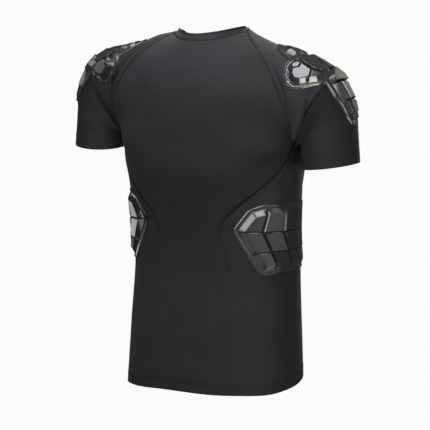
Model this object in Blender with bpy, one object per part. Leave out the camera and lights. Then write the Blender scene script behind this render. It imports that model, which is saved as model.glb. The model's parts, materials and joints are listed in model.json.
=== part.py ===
"""Short-sleeved compression shirt with moulded shoulder and rib pads, filled out as when worn.

Metres, +Z up. The wearer faces -Y, so the back is +Y and the wearer's left is +X.
The origin lies midway between the two points where the shirt hangs on the shoulders, beside the neck.
"""

import math

import bmesh
import bpy
import numpy as np
from mathutils import Vector
from mathutils.bvhtree import BVHTree
from mathutils.geometry import delaunay_2d_cdt

# Cloth
WALL = 0.0015
SEAM_GAP = 0.0003
RING_POWER = 2.3
COLLAR_HEIGHT = 0.011
COLLAR_LEAN = 0.6
COLLAR_SIDE_LEAN = 0.9

# Torso sections from hem to armpit: height, half width, centre back and centre front depth,
# and where the side panel's two seams cross the section, as angles from the centre back.
TORSO_SECTIONS = [
    # height, half_width, back, front, back_seam, front_seam
    (-0.677, 0.178, 0.119, -0.108, 39.5, 134.0),
    (-0.625, 0.175, 0.116, -0.109, 38.5, 135.0),
    (-0.565, 0.172, 0.112, -0.110, 36.5, 137.0),
    (-0.505, 0.168, 0.108, -0.112, 31.5, 140.0),
    (-0.450, 0.165, 0.105, -0.115, 24.5, 145.0),
    (-0.400, 0.165, 0.107, -0.115, 20.8, 149.0),
    (-0.360, 0.166, 0.111, -0.115, 20.5, 149.0),
    (-0.325, 0.168, 0.116, -0.115, 31.5, 140.0),
    (-0.295, 0.171, 0.121, -0.115, 46.0, 127.0),
    (-0.265, 0.175, 0.126, -0.114, 62.0, 113.0),
    (-0.235, 0.181, 0.128, -0.114, 74.0, 104.0),
    (-0.205, 0.190, 0.128, -0.113, 77.0, 102.0),
]
BACK_COLUMNS = 3
SIDE_COLUMNS = 3
FRONT_COLUMNS = 3

# Rows of the back panel above the armpit: centre back, then the seam to the shoulder panel.
BACK_ROWS = [
    # centre_y, centre_z, seam_x, seam_y, seam_z
    (0.128, -0.158, 0.188, 0.061, -0.166),
    (0.122, -0.110, 0.171, 0.072, -0.109),
    (0.105, -0.064, 0.129, 0.056, -0.049),
    (0.074, -0.022, 0.078, 0.023, -0.009),
]
# Rows of the front panel above the armpit.
FRONT_ROWS = [
    # centre_y, centre_z, seam_x, seam_y, seam_z
    (-0.113, -0.176, 0.186, -0.044, -0.168),
    (-0.108, -0.147, 0.168, -0.054, -0.113),
    (-0.100, -0.119, 0.127, -0.038, -0.053),
    (-0.086, -0.092, 0.079, -0.008, -0.017),
]
NECK_SIDE = (0.083, 0.013, -0.009)

# The shoulder panel's armhole seam arches over this point; the arches between lie a share of the way
# from the seam at the neck side to the armhole, lifted on top and swelling at the back and front.
ARMHOLE_TOP = (0.256, 0.009, -0.0825)
ARMHOLE_SWELL = 0.025
SHOULDER_ARCHES = [
    # share, rise, swell, more_rise_on_the_left
    (0.22, 0.0000, 0.004, 0.0095),
    (0.44, 0.0040, 0.008, 0.0030),
    (0.64, 0.0085, 0.009, 0.0000),
    (0.83, 0.0100, 0.006, 0.0000),
]
ARCH_POWER = 2.3
ARCH_STEPS = 10

# Sleeve sections below the armhole: outer and inner edge, depth of the middle, half depth.
SLEEVE_SECTIONS = [
    # outer_x, outer_z, inner_x, inner_z, middle_y, half_depth
    (0.283, -0.126, 0.196, -0.214, 0.009, 0.065),
    (0.292, -0.160, 0.195, -0.224, 0.010, 0.062),
    (0.296, -0.198, 0.195, -0.235, 0.011, 0.059),
    (0.300, -0.233, 0.197, -0.248, 0.012, 0.056),
]
UNDERARM_STEPS = 2 * SIDE_COLUMNS
# Each sleeve's mouth hangs lower at the back, by a share of its half depth, and the left one is pushed up
# a little at its inner edge.
BACK_DROP = {"left": 0.13, "right": 0.05}
INNER_RISE = {"left": 0.010, "right": 0.0}

# The wearer's stance: how far the shirt rises towards the wearer's left, by height. The hem is longer
# at the back than at the front, and dips most behind the wearer's right hip.
STANCE = [
    # height, rise_per_metre
    (-0.70, -0.080),
    (-0.50, -0.015),
    (-0.36, 0.025),
    (-0.06, 0.030),
    (-0.01, -0.030),
]
HEM_DIPS = [
    # turn from the centre back towards the wearer's right, drop
    (-180, -0.013),
    (-117, -0.011),
    (-67, -0.005),
    (-13, -0.005),
    (17, 0.002),
    (41, 0.005),
    (52, 0.007),
    (67, 0.004),
    (93, -0.002),
    (117, -0.013),
    (180, -0.013),
]
HEM_REACH = 0.17

# Moulded pads, drawn flat in centimetres and laid on the cloth
CM = 0.01
PAD_CLEARANCE = 0.0006
LEAST_CLEARANCE = 0.0005
LIFT_ROUNDS = 3
PAD_EDGE = 0.0012
FLANGE_HEIGHT = 0.0018
GROOVE_HALF = 0.0009
GROOVE_CHAMFER = 0.0016
RIB_CHAMFER = 0.0095
SHOULDER_CHAMFER = 0.0090
PAD_GRID = 0.0090
TOP_GRID = 0.018
WRAP_REACH = 0.16
# The shirt is turned a little on the wearer, so its left shoulder pad lies further towards the back.
SHOULDER_SHIFT = {"left": 0.014, "right": 0.0}

# Rib pad: rows of blocks between its grooves. down is measured from the armpit along the side,
# rear_down is the same at the row's rear end, and the other columns go from the side towards the back.
RIB_CORE = 0.115
RIB_COLUMN_HEIGHTS = (7.5, 7.5, 7.0, 4.0)
RIB_GROOVE_FLOOR = 0.0035
RIB_FLANGE = 0.0075
RIB_CORNER_CUT = 0.0060
RIB_ROWS = [
    # down, rear_down, rear, groove_1, groove_2, groove_3, front
    (11.9, 12.9, 10.1, 7.1, 3.6, 0.2, -3.4),
    (16.3, 16.3, 12.8, 8.2, 3.9, 0.4, -3.4),
    (19.9, 20.4, 10.2, 6.5, 2.7, -0.9, -4.6),
    (23.3, 23.6, 7.9, 5.0, 1.3, -2.3, -5.6),
]

# Shoulder pad: along follows the shoulder ridge outwards and down the sleeve, across goes to the back.
# The front half mirrors the rear half; a ridge block lies across both.
SHOULDER_CORE = 0.065
SHOULDER_GROOVE_FLOOR = 0.0055
SHOULDER_OUTLINE = [
    # along, across
    (2.1, 0.8),
    (3.0, 2.3),
    (6.6, 3.7),
    (6.5, 4.8),
    (7.3, 7.1),
    (8.9, 8.4),
    (11.2, 8.7),
    (13.5, 7.6),
    (15.0, 4.9),
    (15.4, 3.5),
    (18.6, 3.3),
    (22.6, 2.2),
    (24.2, 0.9),
]
SHOULDER_OVAL = {"along": 10.5, "across": 2.25, "half_length": 2.7, "half_width": 1.45, "sides": 12}
SHOULDER_OVAL_HEIGHT = 0.0090
SHOULDER_REAR_BLOCKS = [
    # height_mm, corners as along, across
    (6.0, [(3.1, 0.1), (3.1, 1.3), (4.9, 2.5), (4.9, 0.1)]),
    (7.0, [(4.9, 0.1), (4.9, 2.5), (6.8, 2.9), (7.9, 2.0), (7.9, 0.1)]),
    (10.0, [(7.2, 4.6), (7.9, 3.5), (9.3, 4.1), (9.6, 5.0), (8.3, 6.2), (7.5, 5.7)]),
    (
        11.5,
        [(9.3, 4.1), (11.8, 4.2), (13.2, 6.0), (12.2, 7.3), (10.5, 7.8), (9.0, 7.2), (8.3, 6.2), (9.6, 5.0)],
    ),
    (10.0, [(11.8, 4.2), (13.6, 2.8), (14.5, 3.1), (14.3, 4.5), (13.2, 6.0)]),
    (10.0, [(16.1, 1.0), (16.1, 2.5), (19.7, 2.2), (19.7, 0.8)]),
    (8.0, [(19.7, 0.8), (19.7, 2.2), (22.3, 1.4), (22.3, 0.6)]),
]
SHOULDER_RIDGE_BLOCKS = [
    # height_mm, rear corners as along, across
    (9.0, [(7.9, 0.7), (10.5, 0.7)]),
    (10.5, [(10.5, 0.7), (13.2, 0.7)]),
    (14.0, [(13.2, 1.0), (14.6, 2.5), (16.1, 2.5)]),
    (12.5, [(16.1, 1.0), (19.7, 0.8)]),
    (10.0, [(19.7, 0.8), (22.3, 0.6), (23.4, 0.4)]),
]

# Looks: colour, roughness
CLOTH_LOOK = ((0.022, 0.022, 0.024, 1), 0.75)
PAD_LOOK = ((0.030, 0.030, 0.031, 1), 0.25)

SUBDIVISION = 1
FIT_ROUNDS = 4


def ring_point(section, angle):
    """A point of a torso section at an angle from the centre back, on the wearer's left."""
    height, half_width, back, front = section[:4]
    turn = math.radians(angle)
    half_depth = (back - front) / 2
    across = abs(math.sin(turn)) ** (2 / RING_POWER)
    along = abs(math.cos(turn)) ** (2 / RING_POWER)
    sign = 1 if angle <= 90 else -1
    return Vector((half_width * across, (back + front) / 2 + sign * half_depth * along, height))


def torso_angles(section):
    """Angles of a section's columns from the centre back round to the centre front."""
    back_seam, front_seam = section[4:]
    stops = [0, back_seam, 90, front_seam, 180]
    counts = [BACK_COLUMNS, SIDE_COLUMNS, SIDE_COLUMNS, FRONT_COLUMNS]
    angles = [0]
    for first, last, count in zip(stops, stops[1:], counts):
        angles += [first + (last - first) * (step + 1) / count for step in range(count)]
    return angles


def panel_row(row, columns):
    """Points from the centre line to the seam: flat at the centre and rounding off towards the seam."""
    centre_y, centre_z, seam_x, seam_y, seam_z = row
    points = []
    for step in range(columns + 1):
        share = step / columns
        bend = share**RING_POWER
        lift = share * share
        points.append(
            Vector(
                (
                    seam_x * share,
                    centre_y + (seam_y - centre_y) * bend,
                    centre_z + (seam_z - centre_z) * lift,
                )
            )
        )
    return points


def armhole_point(back_foot, front_foot, step):
    """A point of the armhole arch, which stands on the two armpit points."""
    top = Vector(ARMHOLE_TOP)
    turn = math.pi * step / ARCH_STEPS
    middle = (back_foot + front_foot) / 2
    rise = math.sin(turn) ** (2 / ARCH_POWER)
    run = math.copysign(abs(math.cos(turn)) ** (2 / ARCH_POWER), math.cos(turn))
    point = middle + (top - middle) * rise + (back_foot - front_foot) / 2 * run
    point.y += ARMHOLE_SWELL * math.sin(2 * turn)
    return point


def arch_point(arch, inner, outer, step, side):
    """A point of an arch between the seam at the neck side and the armhole."""
    share, rise, swell, more_rise = arch
    rise += more_rise if side > 0 else 0
    turn = math.pi * step / ARCH_STEPS
    point = inner + (outer - inner) * share
    return point + Vector((0, swell * math.sin(2 * turn), rise * math.sin(turn)))


def sleeve_point(section, step, back_drop, inner_rise):
    """A point of a sleeve section; step counts from the back armpit over the top."""
    outer_x, outer_z, inner_x, inner_z, middle_y, half_depth = section
    inner_z += inner_rise
    if step <= ARCH_STEPS:
        turn = math.radians(120 - 240 * step / ARCH_STEPS)
    else:
        turn = math.radians(-120 - 120 * (step - ARCH_STEPS) / UNDERARM_STEPS)
    centre = Vector(((outer_x + inner_x) / 2, middle_y, (outer_z + inner_z) / 2))
    outward = Vector(((outer_x - inner_x) / 2, 0, (outer_z - inner_z) / 2))
    backward = Vector((0, half_depth, -back_drop * half_depth))
    return centre + outward * math.cos(turn) + backward * math.sin(turn)


class Cage:
    """The shirt's control mesh: points shared by name, and faces filed under the panel they belong to."""

    def __init__(self):
        self.points = []
        self.index = {}
        self.faces = []
        self.panels = []

    def point(self, key, place):
        if key not in self.index:
            self.index[key] = len(self.points)
            self.points.append(Vector(place))
        return self.index[key]

    def face(self, panel, corners, side):
        ring = []
        for corner in corners:
            if corner not in ring:
                ring.append(corner)
        if len(ring) > 2:
            self.faces.append(ring if side < 0 else ring[::-1])
            self.panels.append(panel)


def stance_lift(place):
    """How far a point is raised because the wearer's shoulders and hips aren't level."""
    heights = [row[0] for row in STANCE]
    slopes = [row[1] for row in STANCE]
    return place[0] * float(np.interp(place[2], heights, slopes))


def hem_dip(place):
    """How far a point near the hem hangs down because the back is cut longer than the front."""
    height, half_width, back, front = TORSO_SECTIONS[0][:4]
    across = -place[0] / half_width
    along = (place[1] - (back + front) / 2) / ((back - front) / 2)
    turn = math.degrees(math.atan2(across, along))
    share = min(max((height + HEM_REACH - place[2]) / HEM_REACH, 0), 1)
    return share * float(np.interp(turn, [row[0] for row in HEM_DIPS], [row[1] for row in HEM_DIPS]))


def mirrored(place, side):
    return Vector((side * place[0], place[1], place[2]))


def build_cage():
    cage = Cage()
    loops = {side: half_cage(cage, side) for side in (1, -1)}
    collar(cage, loops)
    for place in cage.points:
        place.z += stance_lift(place) - hem_dip(place)
    return cage


def half_cage(cage, side):
    """One half of the shirt; returns its half of the neck edge, from the centre back to the centre front."""
    name = "left" if side > 0 else "right"
    seam_b, seam_f = BACK_COLUMNS, BACK_COLUMNS + 2 * SIDE_COLUMNS
    last = seam_f + FRONT_COLUMNS

    def key(row, column):
        return ("torso", row, column, 0 if column in (0, last) else side)

    rows = []
    for row, section in enumerate(TORSO_SECTIONS):
        angles = torso_angles(section)
        rows.append(
            [
                cage.point(key(row, column), mirrored(ring_point(section, angle), side))
                for column, angle in enumerate(angles)
            ]
        )
    for lower, upper in zip(rows, rows[1:]):
        for column in range(last):
            panel = "back" if column < seam_b else "front" if column >= seam_f else "side_" + name
            corners = (lower[column], lower[column + 1], upper[column + 1], upper[column])
            cage.face(panel, corners, side)

    backs, fronts = [rows[-1][: seam_b + 1]], [rows[-1][seam_f:]]
    for number, row in enumerate(BACK_ROWS):
        places = panel_row(row, BACK_COLUMNS)
        backs.append(
            [
                cage.point(("back", number, step, side if step else 0), mirrored(place, side))
                for step, place in enumerate(places)
            ]
        )
    for number, row in enumerate(FRONT_ROWS):
        places = panel_row(row, FRONT_COLUMNS)[::-1]
        fronts.append(
            [
                cage.point(
                    ("front", number, step, 0 if step == FRONT_COLUMNS else side),
                    mirrored(place, side),
                )
                for step, place in enumerate(places)
            ]
        )
    for panel, grid in (("back", backs), ("front", fronts)):
        for lower, upper in zip(grid, grid[1:]):
            for step in range(len(lower) - 1):
                corners = (lower[step], lower[step + 1], upper[step + 1], upper[step])
                cage.face(panel, corners, side)

    neck_side = cage.point(("neck_side", side), mirrored(NECK_SIDE, side))
    seam = [line[-1] for line in backs] + [neck_side] + [line[0] for line in fronts[::-1]]
    back_foot = cage.points[seam[0]].copy()
    front_foot = cage.points[seam[-1]].copy()
    back_foot.x = front_foot.x = abs(back_foot.x)
    armhole = [armhole_point(back_foot, front_foot, step) for step in range(ARCH_STEPS + 1)]
    arches = [seam]
    for number, arch in enumerate(SHOULDER_ARCHES + [None]):
        line = [seam[0]]
        for step in range(1, ARCH_STEPS):
            place = armhole[step]
            if arch:
                inner = mirrored(cage.points[seam[step]], side)
                place = arch_point(arch, inner, place, step, side)
            line.append(cage.point(("arch", number, step, side), mirrored(place, side)))
        arches.append(line + [seam[-1]])
    for inner, outer in zip(arches, arches[1:]):
        for step in range(ARCH_STEPS):
            corners = (inner[step], outer[step], outer[step + 1], inner[step + 1])
            cage.face("shoulder_" + name, corners, side)

    underarm = rows[-1][seam_b + 1 : seam_f][::-1]
    rings = [arches[-1] + underarm]
    for number, section in enumerate(SLEEVE_SECTIONS):
        share = (number + 1) / len(SLEEVE_SECTIONS)
        shifts = (BACK_DROP[name] * share, INNER_RISE[name] * share)
        steps = range(ARCH_STEPS + UNDERARM_STEPS)
        places = [sleeve_point(section, step, *shifts) for step in steps]
        rings.append(
            [
                cage.point(("sleeve", number, step, side), mirrored(place, side))
                for step, place in enumerate(places)
            ]
        )
    for inner, outer in zip(rings, rings[1:]):
        count = len(inner)
        for step in range(count):
            after = (step + 1) % count
            corners = (inner[step], outer[step], outer[after], inner[after])
            cage.face("sleeve_" + name, corners, side)
    return backs[-1] + [neck_side] + fronts[-1]


def collar(cage, loops):
    """A narrow band that stands on the neck edge and leans in towards the neck."""
    edge = loops[1] + loops[-1][-2:0:-1]
    centre = sum((cage.points[number] for number in edge), Vector()) / len(edge)
    top = []
    for step, number in enumerate(edge):
        place = cage.points[number]
        inward = Vector((centre.x - place.x, centre.y - place.y, 0)).normalized()
        lean = COLLAR_LEAN + COLLAR_SIDE_LEAN * (place.x / NECK_SIDE[0]) ** 2
        rise = Vector((0, 0, 1)) + inward * lean
        top.append(cage.point(("collar", step), place + rise.normalized() * COLLAR_HEIGHT))
    for step in range(len(edge)):
        after = (step + 1) % len(edge)
        cage.face("collar", (edge[step], edge[after], top[after], top[step]), 1)


class Wrap:
    """Lays a flat drawing on the shirt: one direction follows a line on the cloth, the other goes round.

    The line lies in an upright plane across the body. Each cross-section is turned about a core
    that lies inside the line, so lengths along the second direction are arcs about that core.
    """

    def __init__(self, line, radius, tree, shift=0.0):
        self.line = [Vector(place) for place in line]
        self.radius = radius
        self.tree = tree
        self.shift = shift
        self.lengths = [0.0]
        for first, second in zip(self.line, self.line[1:]):
            self.lengths.append(self.lengths[-1] + (second - first).length)
        self.normals = []
        for number in range(len(self.line)):
            before = self.line[max(number - 1, 0)]
            after = self.line[min(number + 1, len(self.line) - 1)]
            along = after - before
            normal = Vector((along.z, 0, -along.x)).normalized()
            self.normals.append(normal if normal.x * self.line[number].x > 0 else -normal)

    def core(self, along):
        """The core point and the outward direction of the cross-section at a length along the line."""
        number = max(i for i, length in enumerate(self.lengths[:-1]) if length <= max(along, 0))
        span = self.lengths[number + 1] - self.lengths[number]
        share = (along - self.lengths[number]) / span
        place = self.line[number].lerp(self.line[number + 1], share)
        outward = self.normals[number].lerp(self.normals[number + 1], share).normalized()
        return place - outward * self.radius, outward

    def place(self, along, across, height):
        """The point at a height over the cloth under a place of the drawing."""
        core, outward = self.core(along)
        turn = (across + self.shift) / self.radius
        ray = outward * math.cos(turn) + Vector((0, math.sin(turn), 0))
        found, normal, _, _ = self.tree.ray_cast(core + ray * WRAP_REACH, -ray)
        return found + ray * (height / max(normal.dot(ray), 0.6))


def clear_scene():
    for old in list(bpy.data.objects):
        bpy.data.objects.remove(old)


def guide_object(name, cage, panels):
    """A helper mesh that shapes the cloth and is no part of the shirt itself."""
    mesh = bpy.data.meshes.new(name)
    mesh.from_pydata([tuple(place) for place in cage.points], [], cage.faces)
    for panel in panels:
        mesh.materials.append(bpy.data.materials.new(panel))
    for face, panel in zip(mesh.polygons, cage.panels):
        face.material_index = panels.index(panel)
    made = bpy.data.objects.new(name, mesh)
    bpy.context.scene.collection.objects.link(made)
    made.hide_render = True
    made.display_type = "WIRE"
    return made


def evaluated_points(made):
    bpy.context.view_layer.update()
    shape = made.evaluated_get(bpy.context.evaluated_depsgraph_get())
    mesh = shape.to_mesh()
    places = np.array([vertex.co for vertex in mesh.vertices])
    shape.to_mesh_clear()
    return places


def fit_cage(guide, targets):
    """Moves the control points until the smooth surface passes through the sections' own points."""
    smooth = guide.modifiers.new("smooth", "SUBSURF")
    smooth.levels = smooth.render_levels = 3
    cage_points = targets.copy()
    for _ in range(FIT_ROUNDS):
        limit = evaluated_points(guide)[: len(targets)]
        cage_points += targets - limit
        guide.data.vertices.foreach_set("co", cage_points.ravel())
        guide.data.update()
    smooth.levels = smooth.render_levels = SUBDIVISION


class Form:
    """The smooth shirt as the cloth's outer skin: points, outward normals, and faces with their panels."""

    def __init__(self, guide, panels):
        bpy.context.view_layer.update()
        shape = guide.evaluated_get(bpy.context.evaluated_depsgraph_get())
        mesh = shape.to_mesh()
        self.points = [vertex.co.copy() for vertex in mesh.vertices]
        self.normals = [vertex.normal.copy() for vertex in mesh.vertices]
        mesh.calc_loop_triangles()
        self.faces = [tuple(triangle.vertices) for triangle in mesh.loop_triangles]
        self.panels = [panels[triangle.material_index] for triangle in mesh.loop_triangles]
        shape.to_mesh_clear()
        self.tree = BVHTree.FromPolygons(self.points, self.faces)


def cloth_solid(form, panel):
    """One cut piece as a closed wall: its skin drawn back from the seams, the inside a wall below it."""
    faces = [face for face, owner in zip(form.faces, form.panels) if owner == panel]
    used = sorted({number for face in faces for number in face})
    places = {number: form.points[number].copy() for number in used}
    directed = {(face[i - 1], face[i]) for face in faces for i in range(len(face))}
    border = [pair for pair in directed if (pair[1], pair[0]) not in directed]
    draws = {number: [] for pair in border for number in pair}
    for first, second in border:
        along = (form.points[second] - form.points[first]).normalized()
        for number in (first, second):
            draws[number].append(form.normals[number].cross(along).normalized())
    for number, directions in draws.items():
        inward = sum(directions, Vector())
        length = max(inward.length_squared / len(directions), 0.25)
        places[number] += inward * (SEAM_GAP / 2 / length)
    count = len(used)
    order = {number: step for step, number in enumerate(used)}
    outer = [places[number] for number in used]
    inner = [places[number] - form.normals[number] * WALL for number in used]
    mesh_faces = [[order[number] for number in face] for face in faces]
    mesh_faces += [[order[number] + count for number in reversed(face)] for face in faces]
    for first, second in border:
        a, b = order[first], order[second]
        if first < second:
            mesh_faces += [[b, a, b + count], [a, a + count, b + count]]
        else:
            mesh_faces += [[b, a, a + count], [b, a + count, b + count]]
    return solid_object(panel, outer + inner, mesh_faces)


def solid_object(name, points, faces):
    """A named closed mesh, smooth but for its sharp edges."""
    mesh = bpy.data.meshes.new(name)
    mesh.from_pydata([tuple(place) for place in points], [], faces)
    shape = bmesh.new()
    shape.from_mesh(mesh)
    bmesh.ops.recalc_face_normals(shape, faces=shape.faces[:])
    if shape.calc_volume(signed=True) < 0:
        bmesh.ops.reverse_faces(shape, faces=shape.faces[:])
    shape.to_mesh(mesh)
    shape.free()
    mesh.shade_smooth()
    mesh.set_sharp_from_angle(angle=math.radians(35))
    made = bpy.data.objects.new(name, mesh)
    bpy.context.scene.collection.objects.link(made)
    return made


def turned_left(loop):
    """The loop, turned round if needed so that its inside lies on the left."""
    area = sum(a.cross(b) for a, b in zip(loop, loop[1:] + loop[:1]))
    return loop if area > 0 else loop[::-1]


def inside(point, loop):
    """Whether a flat point lies inside a loop."""
    found = False
    for a, b in zip(loop, loop[1:] + loop[:1]):
        if (a.y > point.y) != (b.y > point.y):
            if point.x < a.x + (point.y - a.y) / (b.y - a.y) * (b.x - a.x):
                found = not found
    return found


def near(point, loop, reach):
    """Whether a flat point lies within a reach of a loop's edges."""
    for a, b in zip(loop, loop[1:] + loop[:1]):
        edge = b - a
        share = min(max((point - a).dot(edge) / edge.length_squared, 0), 1)
        if (a + edge * share - point).length < reach:
            return True
    return False


def drawn_in(loop, widths):
    """A loop whose edges have moved inwards, each by its own width."""
    count = len(loop)
    lines = []
    for number in range(count):
        edge = loop[(number + 1) % count] - loop[number]
        inward = Vector((-edge.y, edge.x)).normalized()
        lines.append((loop[number] + inward * widths[number], edge.normalized(), inward * widths[number]))
    moved = []
    for number in range(count):
        start, before, _ = lines[number - 1]
        other, after, shift = lines[number]
        turn = before.cross(after)
        if abs(turn) < 0.05:
            moved.append(loop[number] + shift)
        else:
            moved.append(start + before * ((other - start).cross(after) / turn))
    return moved


def crown_loop(foot, widths):
    """The edge of a block's flat top: its chamfers keep their widths where there is room for them."""
    for share in (1, 0.8, 0.6, 0.45, 0.3):
        crown = drawn_in(foot, [width * share for width in widths])
        pairs = zip(foot, foot[1:] + foot[:1], crown, crown[1:] + crown[:1])
        if all((b - a).dot(d - c) > 0.1 * (b - a).length_squared for a, b, c, d in pairs):
            break
    return crown


def corners_cut(loop, cut):
    """A loop whose sharper corners are rounded off with three points each."""
    points = []
    for before, corner, after in zip(loop[-1:] + loop[:-1], loop, loop[1:] + loop[:1]):
        back, ahead = (before - corner).normalized(), (after - corner).normalized()
        if back.dot(ahead) < -0.9:
            points.append(corner)
        else:
            points += [corner + back * cut, corner + (back + ahead) * cut / 4, corner + ahead * cut]
    return points


def spaced(loop, step):
    """The loop with points added so that none of its edges is longer than the step."""
    points = []
    for a, b in zip(loop, loop[1:] + loop[:1]):
        parts = max(1, math.ceil((b - a).length / step - 0.01))
        points += [a.lerp(b, part / parts) for part in range(parts)]
    return points


def grid(outline, step):
    """Evenly spaced flat points inside an outline, in staggered rows."""
    low = [min(point[axis] for point in outline) for axis in (0, 1)]
    high = [max(point[axis] for point in outline) for axis in (0, 1)]
    rows = int((high[1] - low[1]) / step) + 1
    columns = int((high[0] - low[0]) / step) + 2
    points = []
    for row in range(rows):
        for column in range(columns):
            shift = 0.5 * (row % 2)
            point = Vector((low[0] + (column - shift) * step, low[1] + (row + 0.5) * step))
            if inside(point, outline) and not near(point, outline, 0.6 * step):
                points.append(point)
    return points


class FlatMesh:
    """Loops and loose points of a flat drawing, each with a height, filled with triangles."""

    def __init__(self):
        self.points = []
        self.heights = []
        self.edges = []

    def loop(self, loop, heights):
        first = len(self.points)
        self.points += loop
        self.heights += heights
        self.edges += [(first + i, first + (i + 1) % len(loop)) for i in range(len(loop))]

    def loose(self, points, height):
        self.points += points
        self.heights += [height] * len(points)

    def filled(self):
        """The points with heights, the triangles, and the new number of each point that was put in."""
        points, _, faces, sources, _, _ = delaunay_2d_cdt(self.points, self.edges, [], 1, 1e-6)
        heights = [self.heights[source[0]] for source in sources]
        numbers = {old: new for new, source in enumerate(sources) for old in source}
        return [(*point, height) for point, height in zip(points, heights)], faces, numbers


def lift_clear(points, triangles, tree):
    """Raises a pad's back where a triangle would cut the cloth between its corners."""
    for _ in range(LIFT_ROUNDS):
        for face in triangles:
            corners = [points[number] for number in face]
            middles = [(a + b) / 2 for a, b in zip(corners, corners[1:] + corners[:1])]
            for probe in middles + [sum(corners, Vector()) / len(corners)]:
                found, normal, _, _ = tree.find_nearest(probe)
                short = LEAST_CLEARANCE - (probe - found).dot(normal)
                if short > 0:
                    for number in face:
                        points[number] = points[number] + normal * short


def block_foot(foot, shared, groove_floor):
    """A block's foot with points added, and their heights: raised in the grooves, low at the pad's edge."""
    points, heights = [], []
    for number, (a, b) in enumerate(zip(foot, foot[1:] + foot[:1])):
        parts = max(1, math.ceil((b - a).length / PAD_GRID - 0.01))
        for part in range(parts):
            in_groove = shared[number] and (part > 0 or shared[number - 1])
            points.append(a.lerp(b, part / parts))
            heights.append(groove_floor if in_groove else FLANGE_HEIGHT)
    return points, heights


def pad_solid(name, wrap, outline, blocks, groove_floor, chamfer):
    """A moulded pad: a thin flange that follows the cloth, with chamfered blocks standing on it."""
    outline = spaced(turned_left(outline), PAD_GRID)
    top = FlatMesh()
    top.loop(outline, [PAD_EDGE] * len(outline))
    feet = []
    for height, corners in blocks:
        corners = turned_left(corners)
        foot = drawn_in(corners, [GROOVE_HALF] * len(corners))
        shared = []
        for a, b in zip(foot, foot[1:] + foot[:1]):
            outward = Vector((b.y - a.y, a.x - b.x)).normalized()
            probe = (a + b) / 2 + outward * 4 * GROOVE_HALF
            shared.append(any(inside(probe, other) for _, other in blocks))
        crown = crown_loop(foot, [GROOVE_CHAMFER if edge else chamfer for edge in shared])
        crown = spaced(crown, TOP_GRID)
        top.loop(*block_foot(foot, shared, groove_floor))
        top.loop(crown, [height] * len(crown))
        feet.append(foot)
    floor = [
        point
        for point in grid(outline, PAD_GRID)
        if not any(inside(point, foot) or near(point, foot, 0.5 * PAD_GRID) for foot in feet)
    ]
    top.loose(floor, FLANGE_HEIGHT)
    back = FlatMesh()
    back.loop(outline, [0.0] * len(outline))
    back.loose(grid(outline, PAD_GRID), 0.0)

    points, faces = [], []
    rims = []
    for layer in (top, back):
        flat, triangles, numbers = layer.filled()
        first = len(points)
        places = [wrap.place(along, across, PAD_CLEARANCE + height) for along, across, height in flat]
        if layer is back:
            lift_clear(places, triangles, wrap.tree)
        points += places
        faces += [[first + number for number in face] for face in triangles]
        rims.append([first + numbers[step] for step in range(len(outline))])
    for step in range(len(outline)):
        after = (step + 1) % len(outline)
        faces.append([rims[0][step], rims[0][after], rims[1][after], rims[1][step]])
    return solid_object(name, points, faces)


def rib_drawing():
    """The rib pad's outline and blocks, as flat places: down the side, towards the back."""
    rows = []
    for down, rear_down, *places in RIB_ROWS:
        rows.append([Vector((down if step else rear_down, place)) * CM for step, place in enumerate(places)])
    blocks = []
    for upper, lower in zip(rows, rows[1:]):
        for step in range(len(upper) - 1):
            corners = [upper[step], upper[step + 1], lower[step + 1], lower[step]]
            blocks.append((RIB_COLUMN_HEIGHTS[step] / 1000, corners))
    edge = rows[0] + [row[-1] for row in rows[1:-1]] + rows[-1][::-1] + [row[0] for row in rows[-2:0:-1]]
    edge = turned_left(edge)
    edge = drawn_in(edge, [-RIB_FLANGE] * len(edge))
    return corners_cut(edge, RIB_CORNER_CUT), blocks


def shoulder_drawing():
    """The shoulder pad's outline and blocks, as flat places: along the ridge, towards the back."""

    def flat(places, sign=1):
        return [Vector((along, sign * across)) * CM for along, across in places]

    oval = []
    for step in range(SHOULDER_OVAL["sides"]):
        turn = 2 * math.pi * step / SHOULDER_OVAL["sides"]
        along = SHOULDER_OVAL["along"] + SHOULDER_OVAL["half_length"] * math.cos(turn)
        across = SHOULDER_OVAL["across"] + SHOULDER_OVAL["half_width"] * math.sin(turn)
        oval.append((along, across))
    blocks = []
    for sign in (1, -1):
        blocks.append((SHOULDER_OVAL_HEIGHT, flat(oval, sign)))
        blocks += [(height / 1000, flat(corners, sign)) for height, corners in SHOULDER_REAR_BLOCKS]
    for height, corners in SHOULDER_RIDGE_BLOCKS:
        blocks.append((height / 1000, flat(corners) + flat(corners, -1)[::-1]))
    return flat(SHOULDER_OUTLINE) + flat(SHOULDER_OUTLINE, -1)[::-1], blocks


def shoulder_line(cage, side):
    """The ridge of the shoulder, from beside the neck down the outside of the sleeve."""
    middle = ARCH_STEPS // 2
    keys = [("arch", number, middle, side) for number in range(len(SHOULDER_ARCHES) + 1)]
    keys += [("sleeve", number, middle, side) for number in range(len(SLEEVE_SECTIONS))]
    return [cage.points[cage.index[key]] for key in keys]


def side_line(cage, side):
    """The shirt's side from the armpit down to the hem."""
    column = BACK_COLUMNS + SIDE_COLUMNS
    rows = range(len(TORSO_SECTIONS) - 1, -1, -1)
    return [cage.points[cage.index[("torso", row, column, side)]] for row in rows]


def look(name, colour, roughness):
    material = bpy.data.materials.new(name)
    material.use_nodes = True
    shader = material.node_tree.nodes["Principled BSDF"]
    shader.inputs["Base Color"].default_value = colour
    shader.inputs["Roughness"].default_value = roughness
    shader.inputs["Metallic"].default_value = 0
    material.diffuse_color = colour
    return material


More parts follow.
